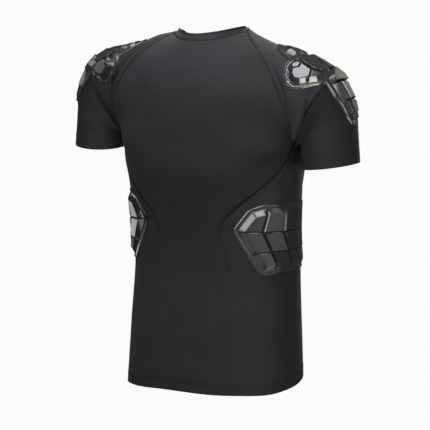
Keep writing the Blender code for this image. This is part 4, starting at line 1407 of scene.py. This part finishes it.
def band(line):
    """A closed low band over the butted edges."""
    places, normals, sideways = line
    rows = [places + sideways * across * MM for across, _ in BAND_PROFILE]
    rows = [over_skin(row, normals, height * MM) for row, (_, height) in zip(rows, BAND_PROFILE)]
    points = np.stack(rows, axis=1).reshape(-1, 3)
    wide, steps = len(BAND_PROFILE), len(places)
    faces = []
    for step in range(steps - 1):
        for side in range(wide):
            after = (side + 1) % wide
            low, high = step * wide, (step + 1) * wide
            faces.append((low + side, low + after, high + after, high + side))
    faces.append(tuple(reversed(range(wide))))
    faces.append(tuple(range((steps - 1) * wide, steps * wide)))
    return points, faces


print(len(band(seam_lines["seam_neck"])[1]), "faces in the band of the neck seam")


# %% Sew the seams and the hems
def mesh_piece(name, points, faces, finishes, finish_numbers):
    """A new piece with its finishes and all its faces turned outwards, left selected for shading."""
    mesh = bpy.data.meshes.new(name)
    mesh.from_pydata(points, [], faces)
    for finish in finishes:
        mesh.materials.append(finish)
    mesh.polygons.foreach_set("material_index", finish_numbers)
    piece = bpy.data.objects.new(name, mesh)
    SCENE.collection.objects.link(piece)
    select_only(piece)
    bpy.ops.object.mode_set(mode="EDIT")
    bpy.ops.mesh.select_all(action="SELECT")
    bpy.ops.mesh.normals_make_consistent(inside=False)
    bpy.ops.object.mode_set(mode="OBJECT")
    return piece


def sewn_piece(name, parts, finishes):
    """One piece from several sets of points and faces, each with its own finish."""
    points, faces, finish_numbers = [], [], []
    for number, (part_points, part_faces) in enumerate(parts):
        first = sum(len(block) for block in points)
        points.append(part_points)
        faces += [tuple(first + corner for corner in face) for face in part_faces]
        finish_numbers += [min(number, len(finishes) - 1)] * len(part_faces)
    piece = mesh_piece(name, np.vstack(points).tolist(), faces, finishes, finish_numbers)
    bpy.ops.object.shade_smooth()
    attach(piece, BODY)
    return piece


sewing = {}
for name, line in seam_lines.items():
    rows = [needle_row(line, across * MM) for across in NEEDLE_ROWS_MM]
    parts = [band(line), zigzag(line, NEEDLE_ROWS_MM[1] * MM, ZIGZAG_HEIGHT_MM * MM)] + rows
    # the right armhole's band, and the side seams' bands under the arms, are painted dark as shade
    finishes = [seam_band, sewing_thread] if name == "seam_armhole_right" else [soft_band]
    if "side" in name:
        finishes = [side_band]
    sewing[name] = sewn_piece(name, parts, finishes)
for name, line in hem_lines.items():
    parts = [needle_row(line, across) for across in HEM_ROWS]
    sewing[name] = sewn_piece(name, parts, [sewing_thread])
for name, piece in sewing.items():
    print(f"{name}: {len(piece.data.polygons)} faces")

# %% [markdown]
# ## Flat sizes of the cloth pieces
# Each seam is filed under the cut piece that it is sewn to, and each piece's width and length are read
# from its unwrapped pattern, which gives the size as worn; a compression knit is cut a little smaller,
# because it is stretched when it is on. The neckband is a straight strip that is bent into a ring, so its
# length is its area over its height.

# %% Flat sizes
SEAM_OWNERS = {"armhole": "sleeve_", "sleeve": "sleeve_", "raglan": "shoulder_", "side": "side_"}
SEWN_TO = {"seam_neck": "collar", "hem_body": "back"}
for name in sewing:
    if name not in SEWN_TO:
        words = name.split("_")
        SEWN_TO[name] = SEAM_OWNERS[words[1]] + words[-1]
for panel, piece in sorted(cut_pieces.items()):
    (width, length), area = flat_sizes[panel]
    if panel == "collar":
        width, length = area / COLLAR_HEIGHT, COLLAR_HEIGHT

# %% [markdown]
# ## Moulded pads, as flat drawings
# The pads are foam blocks under one glossy film, pressed in a mould: a thin flange that is sewn to the
# cloth, blocks with flat tops and slanting sides, and grooves between them that let the pad bend. They
# are easiest to draw flat, in centimetres, like a paper pattern. The rib pad is measured down from the
# armpit and towards the back; the shoulder pad along the shoulder's ridge, down the sleeve, and towards
# the back.

# %% Helpers for flat loops
NEARLY_STRAIGHT = 0.05
BLUNT_CORNER = -0.9


def outward_of(a, b):
    """The way out over the edge from a to b of a loop whose inside lies on the left."""
    return Vector((b.y - a.y, a.x - b.x)).normalized()


def turned_left(loop):
    """The loop, turned round if needed so that its inside lies on the left."""
    area = sum(a.cross(b) for a, b in ring_pairs(loop))
    return loop if area > 0 else loop[::-1]


def drawn_in(loop, widths):
    """A loop whose edges have moved inwards, each by its own width."""
    lines = []
    for (a, b), width in zip(ring_pairs(loop), widths):
        inward = outward_of(a, b) * -width
        lines.append((a + inward, (b - a).normalized(), inward))
    moved = []
    for number, corner in enumerate(loop):
        start, before, _ = lines[number - 1]
        other, after, shift = lines[number]
        turn = before.cross(after)
        if abs(turn) < NEARLY_STRAIGHT:
            moved.append(corner + shift)
        else:
            moved.append(start + before * ((other - start).cross(after) / turn))
    return moved


def corners_cut(loop, cut):
    """A loop whose sharper corners are rounded off with three points each."""
    points = []
    for before, corner, after in zip(loop[-1:] + loop[:-1], loop, loop[1:] + loop[:1]):
        back, ahead = (before - corner).normalized(), (after - corner).normalized()
        if back.dot(ahead) < BLUNT_CORNER:
            points.append(corner)
        else:
            points += [corner + back * cut, corner + (back + ahead) * cut / 4, corner + ahead * cut]
    return points


square = [Vector(corner) for corner in ((0, 0), (1, 0), (1, 1), (0, 1))]
print("a square with its corners cut has", len(corners_cut(square, 0.1)), "points")

# %% Drawing of the rib pad
CM = 0.01
RIB_COLUMN_HEIGHTS_MM = (7.5, 7.5, 7.0, 4.0)
RIB_CHAMFER = 0.0095
RIB_OPEN_WALL = 0.0037
RIB_GROOVE_FLOOR = 0.0030
RIB_ROW_GROOVE, RIB_COLUMN_GROOVE = 0.0004, 0.0015
RIB_FLANGE = 0.0075
RIB_CORNER_CUT = 0.0060
RIB_ROWS = [
    # down, rear_down, rear, groove_1, groove_2, groove_3, front
    (11.9, 12.9, 10.1, 7.1, 3.6, 0.2, -3.4),
    (16.3, 16.3, 12.8, 8.2, 3.9, 0.4, -3.4),
    (19.9, 20.4, 10.2, 6.5, 2.7, -0.9, -4.6),
    (23.3, 23.6, 7.9, 5.0, 1.3, -2.3, -5.6),
]
# One block of a drawing: its height, its corners, half the groove along each edge, the width of a slanting
# side where no other block is near, the width of one that faces up and to the rear in a groove, which way
# across is its rear (0 if both are), and whether a sunken plate lies in its top.
Block = namedtuple("Block", "height corners grooves chamfer open_wall rear plate")


def rib_drawing():
    """The rib pad's outline and blocks."""
    rows = []
    for down, rear_down, *places in RIB_ROWS:
        downs = [rear_down] + [down] * (len(places) - 1)
        rows.append([Vector(pair) * CM for pair in zip(downs, places)])
    grooves = [RIB_ROW_GROOVE, RIB_COLUMN_GROOVE] * 2
    blocks = []
    for upper, lower in zip(rows, rows[1:]):
        for step in range(len(upper) - 1):
            corners = [upper[step], upper[step + 1], lower[step + 1], lower[step]]
            height = RIB_COLUMN_HEIGHTS_MM[step] * MM
            blocks.append(Block(height, corners, grooves, RIB_CHAMFER, RIB_OPEN_WALL, 1, False))
    edge = rows[0] + [row[-1] for row in rows[1:-1]] + rows[-1][::-1] + [row[0] for row in rows[-2:0:-1]]
    edge = turned_left(edge)
    edge = drawn_in(edge, [-RIB_FLANGE] * len(edge))
    return corners_cut(edge, RIB_CORNER_CUT), blocks


rib_pattern = rib_drawing()
print(len(rib_pattern[1]), "blocks on a rib pad")

# %% Drawing of the shoulder pad
SHOULDER_CHAMFER = 0.0090
SHOULDER_OPEN_WALL = 0.0026
SHOULDER_GROOVE_FLOOR = 0.0040
SHOULDER_GROOVE, LOBE_GROOVE = 0.0011, 0.0005
SHOULDER_OUTLINE = [
    # along, across
    (2.1, 0.8),
    (3.0, 2.3),
    (6.6, 3.7),
    (6.5, 4.8),
    (7.3, 7.1),
    (8.9, 8.4),
    (11.2, 8.7),
    (13.5, 7.6),
    (15.0, 4.9),
    (15.4, 3.5),
    (18.6, 3.3),
    (22.6, 2.2),
    (24.2, 0.9),
]
SHOULDER_OVAL = {"along": 10.5, "across": 2.25, "half_length": 2.7, "half_width": 1.45, "sides": 24}
SHOULDER_OVAL_HEIGHT_MM = 9.0
SHOULDER_REAR_BLOCKS = [
    # height_mm, corners as along, across
    (6.0, [(3.1, 0.1), (3.1, 1.3), (4.9, 2.5), (4.9, 0.1)]),
    (7.0, [(4.9, 0.1), (4.9, 2.5), (6.8, 2.9), (7.9, 2.0), (7.9, 0.1)]),
    (10.0, [(16.1, 1.0), (16.1, 2.5), (19.7, 2.2), (19.7, 0.8)]),
    (8.0, [(19.7, 0.8), (19.7, 2.2), (22.3, 1.4), (22.3, 0.6)]),
]
SHOULDER_LOBE_BLOCKS = [
    # height_mm, corners as along, across
    (10.0, [(7.2, 4.6), (7.9, 3.5), (9.3, 4.1), (9.6, 5.0), (8.3, 6.2), (7.5, 5.7)]),
    (
        11.5,
        [
            (9.3, 4.1),
            (11.8, 4.2),
            (13.2, 6.0),
            (12.2, 7.3),
            (10.5, 7.8),
            (9.0, 7.2),
            (8.3, 6.2),
            (9.6, 5.0),
        ],
    ),
    (10.0, [(11.8, 4.2), (13.6, 2.8), (14.5, 3.1), (14.3, 4.5), (13.2, 6.0)]),
]
SHOULDER_RIDGE_BLOCKS = [
    # height_mm, rear corners as along, across
    (9.0, [(7.9, 0.7), (10.5, 0.7)]),
    (10.5, [(10.5, 0.7), (13.2, 0.7)]),
    (14.0, [(13.2, 1.0), (14.6, 2.5), (16.1, 2.5)]),
    (12.5, [(16.1, 1.0), (19.7, 0.8)]),
    (10.0, [(19.7, 0.8), (22.3, 0.6), (23.4, 0.4)]),
]


def shoulder_drawing():
    """The shoulder pad's outline and blocks; its front half mirrors its rear half."""

    def flat(places, sign=1):
        return [Vector((along, sign * across)) * CM for along, across in places]

    def block(height, corners, rear, groove=SHOULDER_GROOVE, plate=False):
        corners, grooves = turned_left(corners), [groove] * len(corners)
        return Block(height * MM, corners, grooves, SHOULDER_CHAMFER, SHOULDER_OPEN_WALL, rear, plate)

    oval = []
    for step in range(SHOULDER_OVAL["sides"]):
        turn = 2 * math.pi * step / SHOULDER_OVAL["sides"]
        along = SHOULDER_OVAL["along"] + SHOULDER_OVAL["half_length"] * math.cos(turn)
        oval.append((along, SHOULDER_OVAL["across"] + SHOULDER_OVAL["half_width"] * math.sin(turn)))
    blocks = []
    for sign in (1, -1):
        blocks.append(block(SHOULDER_OVAL_HEIGHT_MM, flat(oval, sign), sign, plate=True))
        for height, corners in SHOULDER_REAR_BLOCKS:
            blocks.append(block(height, flat(corners, sign), sign))
        for height, corners in SHOULDER_LOBE_BLOCKS:
            blocks.append(block(height, flat(corners, sign), sign, LOBE_GROOVE))
    for height, corners in SHOULDER_RIDGE_BLOCKS:
        blocks.append(block(height, flat(corners) + flat(corners, -1)[::-1], 0))
    return turned_left(flat(SHOULDER_OUTLINE) + flat(SHOULDER_OUTLINE, -1)[::-1]), blocks


shoulder_pattern = shoulder_drawing()
print(len(shoulder_pattern[1]), "blocks on a shoulder pad")

# %% [markdown]
# ## Wrapping a drawing round the body
# A drawing is laid on the shirt by one line on the cloth, such as the side seam, and by circles about a
# core inside the body. A ray from outside towards the core finds the cloth, and the point then stands
# off it by its height. The shirt is turned a little on the wearer, so the left shoulder pad lies
# further towards the back.


# %% Wrap
class Wrap:
    """Lays a flat drawing on the shirt along a line that lies in an upright plane across the body."""

    REACH = 0.16
    LEAST_FACING = 0.6

    def __init__(self, line, radius, shift):
        self.line = [Vector(place) for place in line]
        self.radius = radius
        self.shift = shift
        steps = [(second - first).length for first, second in zip(self.line, self.line[1:])]
        self.lengths = [sum(steps[:number]) for number in range(len(self.line))]
        self.normals = []
        for number, place in enumerate(self.line):
            before = self.line[max(number - 1, 0)]
            after = self.line[min(number + 1, len(self.line) - 1)]
            normal = Vector((after.z - before.z, 0, before.x - after.x)).normalized()
            self.normals.append(normal if normal.x * place.x > 0 else -normal)

    def place(self, along, across, height):
        """The point at a height over the cloth under a place of the drawing."""
        number = max(i for i, length in enumerate(self.lengths[:-1]) if length <= max(along, 0))
        span = self.lengths[number + 1] - self.lengths[number]
        share = (along - self.lengths[number]) / span
        outward = self.normals[number].lerp(self.normals[number + 1], share).normalized()
        core = self.line[number].lerp(self.line[number + 1], share) - outward * self.radius
        turn = (across + self.shift) / self.radius
        ray = outward * math.cos(turn) + Vector((0, math.sin(turn), 0))
        found, _, face, _ = skin_tree.ray_cast(core + ray * self.REACH, -ray)
        corners = skin_faces[face]
        weights = poly_3d_calc([Vector(skin_points[corner]) for corner in corners], found)
        normal = Vector(sum(skin_normals[corner] * weight for corner, weight in zip(corners, weights)))
        return found + ray * (height / max(normal.normalized().dot(ray), self.LEAST_FACING))


def shoulder_line(side):
    """The ridge of the shoulder, from beside the neck down the outside of the sleeve."""
    middle = ARCH_STEPS // 2
    keys = [("arch", number, middle - 1, side) for number in range(len(SHOULDER_ARCHES) + 1)]
    keys += [("sleeve", number, middle, side) for number in range(len(SLEEVE_SECTIONS))]
    return [cage.points[cage.index[key]] for key in keys]


def side_line(side):
    """The shirt's side from the armpit down to the hem."""
    column = BACK_COLUMNS + SIDE_COLUMNS
    rows = range(len(TORSO_SECTIONS) - 1, -1, -1)
    return [cage.points[cage.index[("torso", row, column, side)]] for row in rows]


SHOULDER_CORE, RIB_CORE = 0.065, 0.115
SHOULDER_SHIFT = {"left": 0.014, "right": 0.0}
wraps = {}
for side, hand in HANDS.items():
    wraps["shoulder_pad_" + hand] = Wrap(shoulder_line(side), SHOULDER_CORE, SHOULDER_SHIFT[hand])
    wraps["rib_pad_" + hand] = Wrap(side_line(side), RIB_CORE, 0.0)
for name, wrap in wraps.items():
    print(f"{name}: its line is {wrap.lengths[-1]:.3f} m long")

# %% [markdown]
# ## Filling a drawing
# The drawing's loops are cut into short edges, and the space between them is filled with triangles by a
# Delaunay triangulation, which keeps every loop as an edge. Each point carries marks: its height, how
# far up its block it is, how much painted shade it gets in a groove, and its block.

# %% Short edges, and points inside a loop
STEP_SLACK = 0.01


def inside(point, loop):
    """Whether a flat point lies inside a loop."""
    found = False
    for a, b in ring_pairs(loop):
        if (a.y > point.y) != (b.y > point.y):
            if point.x < a.x + (point.y - a.y) / (b.y - a.y) * (b.x - a.x):
                found = not found
    return found


def distance_to(point, loop):
    """How far a flat point lies from a loop's edges."""
    nearest = math.inf
    for a, b in ring_pairs(loop):
        edge = b - a
        share = min(max((point - a).dot(edge) / edge.length_squared, 0), 1)
        nearest = min(nearest, (a + edge * share - point).length)
    return nearest


def grid_inside(outline, step, margin):
    """Staggered rows of flat points inside an outline, clear of its edges."""
    low = [min(point[axis] for point in outline) for axis in (0, 1)]
    high = [max(point[axis] for point in outline) for axis in (0, 1)]
    points = []
    for row in range(int((high[1] - low[1]) / step) + 1):
        for column in range(int((high[0] - low[0]) / step) + 2):
            point = Vector((low[0] + (column - 0.5 * (row % 2)) * step, low[1] + (row + 0.5) * step))
            if inside(point, outline) and distance_to(point, outline) > margin:
                points.append(point)
    return points


def spaced(loop, guide, values, step):
    """The loop, cut where its guide is cut into short edges; a corner keeps the lesser of two values."""
    points, kept = [], []
    for number, ((a, b), (first, last)) in enumerate(zip(ring_pairs(loop), ring_pairs(guide))):
        parts = max(1, math.ceil((first - last).length / step - STEP_SLACK))
        for part in range(parts):
            points.append(a.lerp(b, part / parts))
            kept.append(values[number] if part else min(values[number], values[number - 1]))
    return points, kept


print(len(grid_inside(square, 0.25, 0.1)), "points in a square, a quarter apart")

# %% Triangles between the loops
WELD_REACH = 1e-6
# a mark's groove is the share of painted shade that the point gets for lying in a groove
Mark = namedtuple("Mark", "height rise groove block")


class FlatMesh:
    """Loops and loose points of a flat drawing, each with its marks, filled with triangles."""

    def __init__(self):
        self.points = []
        self.marks = []
        self.edges = []

    def loop(self, points, marks):
        first = len(self.points)
        self.points += points
        self.marks += marks
        self.edges += [(first + i, first + (i + 1) % len(points)) for i in range(len(points))]

    def loose(self, points, marks):
        self.points += points
        self.marks += marks

    def filled(self):
        points, _, faces, sources, _, _ = delaunay_2d_cdt(self.points, self.edges, [], 1, WELD_REACH)
        numbers = {old: new for new, source in enumerate(sources) for old in source}
        return points, [self.marks[source[0]] for source in sources], faces, numbers


flat_test = FlatMesh()
flat_test.loop(square, [Mark(0, 0, 0, None)] * len(square))
print("a square fills with", len(flat_test.filled()[2]), "triangles")

# %% [markdown]
# ## Blocks and flange
# Each block is a stack of loops from its foot to its crown. The loops crowd at the two ends of the
# slanting side, so the side itself stays one flat facet between two small rounded edges, and those
# edges catch the light. A block that faces another across a groove goes down steeply there. It leans a
# little where that side faces partly up and to the rear, and opens wider where it faces straight that
# way, so that one wall of the groove catches the light. Everywhere else it slants gently. Narrow
# grooves are shallow. The flange has raised beads along its rim, the pale lines that run round each
# pad.

# %% Loops up the sides of a block
BLOCK_PROFILE = [
    # chamfer_share, further_mm, rise, groove_shade (share of painted shade)
    (0.00, 0.00, 0.00, 1.0),
    (0.06, 0.00, 0.06, 1.0),
    (0.14, 0.00, 0.14, 0.5),
    (0.86, 0.00, 0.86, 0.0),
    (0.94, 0.00, 0.94, 0.0),
    (1.00, 0.20, 0.99, 0.0),
    (1.00, 0.60, 1.00, 0.0),
    (1.00, 1.40, 1.00, 0.0),
]
OVAL_PROFILE = [
    # chamfer_share, further_mm, rise, groove_shade (share of painted shade)
    (0.00, 0.00, 0.00, 1.0),
    (0.10, 0.00, 0.10, 1.0),
    (0.30, 0.00, 0.30, 0.6),
    (0.80, 0.00, 0.70, 0.0),
    (1.00, 0.20, 0.84, 0.0),
    (1.00, 0.80, 0.93, 0.0),
    (1.00, 1.40, 0.98, 0.0),
    (1.00, 2.00, 1.00, 0.0),
]
FIT_SHARES = (1, 0.85, 0.7, 0.55, 0.4, 0.28)
LEAST_CROWN_EDGE = 0.08


def block_loops(foot, widths, profile):
    """The stack of loops up a block's side; narrow blocks get narrower chamfers."""
    for share in FIT_SHARES:
        loops = []
        for chamfer_share, further, _, _ in profile:
            insets = [(width * chamfer_share + further * MM) * share for width in widths]
            loops.append(drawn_in(foot, insets))
        pairs = [(b - a, d - c) for (a, b), (c, d) in zip(ring_pairs(foot), ring_pairs(loops[-1]))]
        if all(low.dot(high) > LEAST_CROWN_EDGE * low.length_squared for low, high in pairs):
            break
    return loops


print(len(BLOCK_PROFILE), "loops up a block,", len(OVAL_PROFILE), "up the oval")

# %% Walls of the grooves
STEEP_WALL, LEANING_WALL = 0.0008, 0.0026
REAR_AND_UP = (-0.50, 0.87)
LEAST_LEAN, FULL_LEAN = 0.3, 0.8
FACING_REACH = 0.0070


def facing_edges(foot, blocks):
    """For each edge of a foot, whether another block lies close beyond it."""
    flags = []
    for a, b in ring_pairs(foot):
        probe = (a + b) / 2 + outward_of(a, b) * FACING_REACH
        flags.append(any(inside(probe, other.corners) for other in blocks))
    return flags


def groove_wall(block, a, b):
    """How wide a block's side over the edge from a to b is where it faces another block."""
    outward = outward_of(a, b)
    rearward = outward.y * block.rear if block.rear else abs(outward.y)
    lean = outward.x * REAR_AND_UP[0] + rearward * REAR_AND_UP[1]
    if lean > FULL_LEAN:
        return block.open_wall
    return LEANING_WALL if lean > LEAST_LEAN else STEEP_WALL


rib_blocks = rib_pattern[1]
near_sides = [flag for block in rib_blocks for flag in facing_edges(block.corners, rib_blocks)]
print(sum(near_sides), "of", len(near_sides), "sides of the rib pad's blocks face another block")

# %% A block, raised from its foot
PAD_STEP = 0.0030
TOP_STEP = 0.0060
GRID_MARGIN = 0.4
NARROW_GROOVE, SHALLOW_GROOVE = 0.0010, 0.0026
FLANGE_HEIGHT = 0.0016
PLATE_PROFILE = [
    # further_mm, sink_mm
    (1.0, 0.0),
    (1.3, 0.7),
    (2.0, 0.8),
]


def raise_block(top, number, block, foot, facing, groove_floor):
    """Adds one block to the drawing; returns its crown and, if it has one, the edge of its sunken plate."""
    widths, floors = [], []
    for (a, b), near, groove in zip(ring_pairs(foot), facing, block.grooves):
        widths.append(groove_wall(block, a, b) if near else block.chamfer)
        deep = groove_floor if groove > NARROW_GROOVE else block.height - SHALLOW_GROOVE
        floors.append(deep if near else FLANGE_HEIGHT)
    profile = OVAL_PROFILE if block.plate else BLOCK_PROFILE
    loops = block_loops(foot, widths, profile)
    # groove is the painted shade: full at the foot of a side that faces another block, fading up its wall
    for loop, (_, _, rise, groove) in zip(loops, profile):
        points, lows = spaced(loop, foot, floors, PAD_STEP)
        _, near = spaced(loop, foot, facing, PAD_STEP)
        heights = [low + (block.height - low) * rise for low in lows]
        top.loop(points, [Mark(high, rise, groove * flag, number) for high, flag in zip(heights, near)])
    crown, plate_edge, height = loops[-1], None, block.height
    if block.plate:
        for further, sink in PLATE_PROFILE:
            inner = drawn_in(crown, [further * MM] * len(crown))
            plate_edge = plate_edge or inner
            height = block.height - sink * MM
            points, _ = spaced(inner, foot, facing, PAD_STEP)
            top.loop(points, [Mark(height, 1.0, 0.0, number)] * len(points))
        crown = inner
    points = grid_inside(crown, TOP_STEP, GRID_MARGIN * TOP_STEP)
    top.loose(points, [Mark(height, 1.0, 0.0, number)] * len(points))
    return loops[-1], plate_edge


block_test, first_block = FlatMesh(), rib_blocks[0]
first_sides = facing_edges(first_block.corners, rib_blocks)
raise_block(block_test, 0, first_block, first_block.corners, first_sides, RIB_GROOVE_FLOOR)
print(len(block_test.points), "points on the rib pad's first block")

# %% Beads on the flange
RIM_HEIGHT = 0.0004
BEAD_FOOT = 0.0010
ROUND_BEAD = [
    # share of the width, share of the rise
    (0.00, 0.00),
    (0.17, 0.25),
    (0.33, 0.75),
    (0.50, 1.00),
    (0.67, 0.75),
    (0.83, 0.25),
    (1.00, 0.00),
]
SLOPED_BEAD = [
    # share of the width, share of the rise
    (0.00, 0.00),
    (0.06, 0.04),
    (0.12, 0.14),
    (0.58, 0.88),
    (0.65, 0.97),
    (0.74, 0.97),
    (0.82, 0.84),
    (1.00, 0.00),
]
BEADS = {
    # kind of pad: start, end and rise of each bead in mm, in from the rim, and its shape
    "rib_pad": [(0.3, 4.7, 1.1, ROUND_BEAD)],
    "shoulder_pad": [(0.3, 1.9, 0.8, ROUND_BEAD), (2.2, 5.1, 1.4, SLOPED_BEAD)],
}


def flange_profile(beads):
    """Loops in from the rim: how far, in millimetres, and how high."""
    rows = [(0.0, RIM_HEIGHT)]
    for start, end, rise, shape in beads:
        for across, up in shape:
            rows.append((start + (end - start) * across, BEAD_FOOT + rise * up * MM))
    return rows


for kind, beads in BEADS.items():
    print(kind, "has", len(flange_profile(beads)), "loops on its flange")

# %% [markdown]
# ## The finished pads
# Wrapped on a round body, a block's top would bulge with it. Moulded blocks have flat tops, so each one
# is pressed most of the way onto the plane through its crown, and its sides follow in step with their
# height. Grooves keep an attribute of their own: the film turns dull there, with black painted shade.

# %% Pads, still flat
FLOOR_STEP = 0.0045
FOOT_MARGIN = 0.3
SHADED_GROOVE_WIDTH = 0.0060


def pad_surface(outline, blocks, groove_floor, beads):
    """The pad's upper side and its back, two drawings that share their rim, with its crowns and plates."""
    top, back = FlatMesh(), FlatMesh()
    rim, _ = spaced(outline, outline, [False] * len(outline), PAD_STEP)
    for inset, height in flange_profile(beads):
        lip = drawn_in(outline, [inset * MM] * len(outline)) if inset else outline
        points, _ = spaced(lip, outline, [False] * len(lip), PAD_STEP)
        top.loop(points, [Mark(height, 0.0, 0.0, None)] * len(points))
    feet, crowns, plates = [], [], []
    for number, block in enumerate(blocks):
        foot = drawn_in(block.corners, block.grooves)
        facing = [True] * len(foot) if block.plate else facing_edges(foot, blocks)
        crown, plate_edge = raise_block(top, number, block, foot, facing, groove_floor)
        feet.append(foot)
        crowns.append(crown)
        plates += [plate_edge] if plate_edge else []
    for point in grid_inside(lip, FLOOR_STEP, GRID_MARGIN * FLOOR_STEP):
        gaps = [0.0 if inside(point, foot) else distance_to(point, foot) for foot in feet]
        if min(gaps) > FOOT_MARGIN * FLOOR_STEP:
            # a floor point close to two blocks lies in a groove and gets painted shade
            groove = float(sum(gap < SHADED_GROOVE_WIDTH for gap in gaps) > 1)
            top.loose([point], [Mark(FLANGE_HEIGHT, 0.0, groove, None)])
    back.loop(rim, [Mark(0.0, 0.0, 0.0, None)] * len(rim))
    back_grid = grid_inside(outline, 2 * FLOOR_STEP, FLOOR_STEP)
    back.loose(back_grid, [Mark(0.0, 0.0, 0.0, None)] * len(back_grid))
    return top, back, len(rim), crowns, plates


DRAWINGS = {
    "rib_pad": (*rib_pattern, RIB_GROOVE_FLOOR, BEADS["rib_pad"]),
    "shoulder_pad": (*shoulder_pattern, SHOULDER_GROOVE_FLOOR, BEADS["shoulder_pad"]),
}
surfaces = {kind: pad_surface(*drawing) for kind, drawing in DRAWINGS.items()}
for kind, surface in surfaces.items():
    print(kind, "has", len(surface[0].points), "points on its upper side")

# %% Pads, wrapped on the shirt
PAD_CLEARANCE = 0.0004
FLATNESS = 0.85
SHARP_ANGLE = 18


def crown_plane(wrap, crown, height):
    """The middle and the normal of the plane that lies closest to a block's wrapped crown."""
    places = np.array([wrap.place(*corner, height) for corner in crown])
    middle = places.mean(axis=0)
    return Vector(middle), Vector(np.linalg.svd(places - middle)[2][2])


def wrapped(wrap, point, mark, blocks, planes):
    """A flat point on the shirt, pressed towards its block's plane by how far up the block it is."""
    place = wrap.place(*point, PAD_CLEARANCE + mark.height)
    if mark.block is not None:
        middle, normal = planes[mark.block]
        top = wrap.place(*point, PAD_CLEARANCE + blocks[mark.block].height)
        place = place - normal * ((top - middle).dot(normal) * FLATNESS * mark.rise)
    return place


def moulded_pad(name, wrap, blocks, surface):
    """A closed pad mesh, wrapped on the shirt, with its film, its plates, and its grooves marked for
    painted shade.
    """
    top, back, rim_count, crowns, plates = surface
    planes = []
    for crown, block in zip(crowns, blocks):
        planes.append(crown_plane(wrap, crown, PAD_CLEARANCE + block.height))
    points, marks, faces, rims, on_plate = [], [], [], [], []
    for layer in (top, back):
        flat, flat_marks, triangles, numbers = layer.filled()
        first = len(points)
        points += [wrapped(wrap, point, mark, blocks, planes) for point, mark in zip(flat, flat_marks)]
        marks += flat_marks
        faces += [[first + number for number in face] for face in triangles]
        for face in triangles:
            middle = sum((flat[number] for number in face), Vector((0, 0))) / len(face)
            on_plate.append(int(layer is top and any(inside(middle, plate) for plate in plates)))
        rims.append([first + numbers[step] for step in range(rim_count)])
    for step in range(rim_count):
        after = (step + 1) % rim_count
        faces.append([rims[0][step], rims[0][after], rims[1][after], rims[1][step]])
        on_plate.append(0)
    pad = mesh_piece(name, [tuple(place) for place in points], faces, (pad_film, pad_plate), on_plate)
    # the groove attribute carries the painted shade that the film's finish darkens to black
    groove = pad.data.attributes.new(GROOVE_SHADE_MARK, "FLOAT", "POINT")
    groove.data.foreach_set("value", [float(mark.groove) for mark in marks])
    bpy.ops.object.shade_smooth_by_angle(angle=math.radians(SHARP_ANGLE))
    for edge in pad.data.edges:
        if all(marks[number].block is None for number in edge.vertices):
            edge.use_edge_sharp = False
    return pad


for node, wrap in wraps.items():
    kind = node.rpartition("_")[0]
    pad = moulded_pad(node + "_film", wrap, DRAWINGS[kind][1], surfaces[kind])
    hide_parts(node)
    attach(pad, BODY)
    for lit in (kind, node):
        if lit in lit_pieces:
            lit_pieces[lit].objects.link(pad)
    print(f"{pad.name}: {len(pad.data.polygons)} faces")

# %% [markdown]
# ## Lamp groups
# The cloth and the seams join the groups that their lamps light.

# %% Lamp groups for the cloth
for piece in SCENE.objects:
    if piece.type == "MESH" and piece is not floor and "_pad_" not in piece.name:
        lit_pieces["cloth"].objects.link(piece)
        lit_pieces["sleeve" if "sleeve" in piece.name else "body"].objects.link(piece)
for node in ("shoulder_right", "side_right"):
    lit_pieces[node].objects.link(bpy.data.objects[node + "_cloth"])
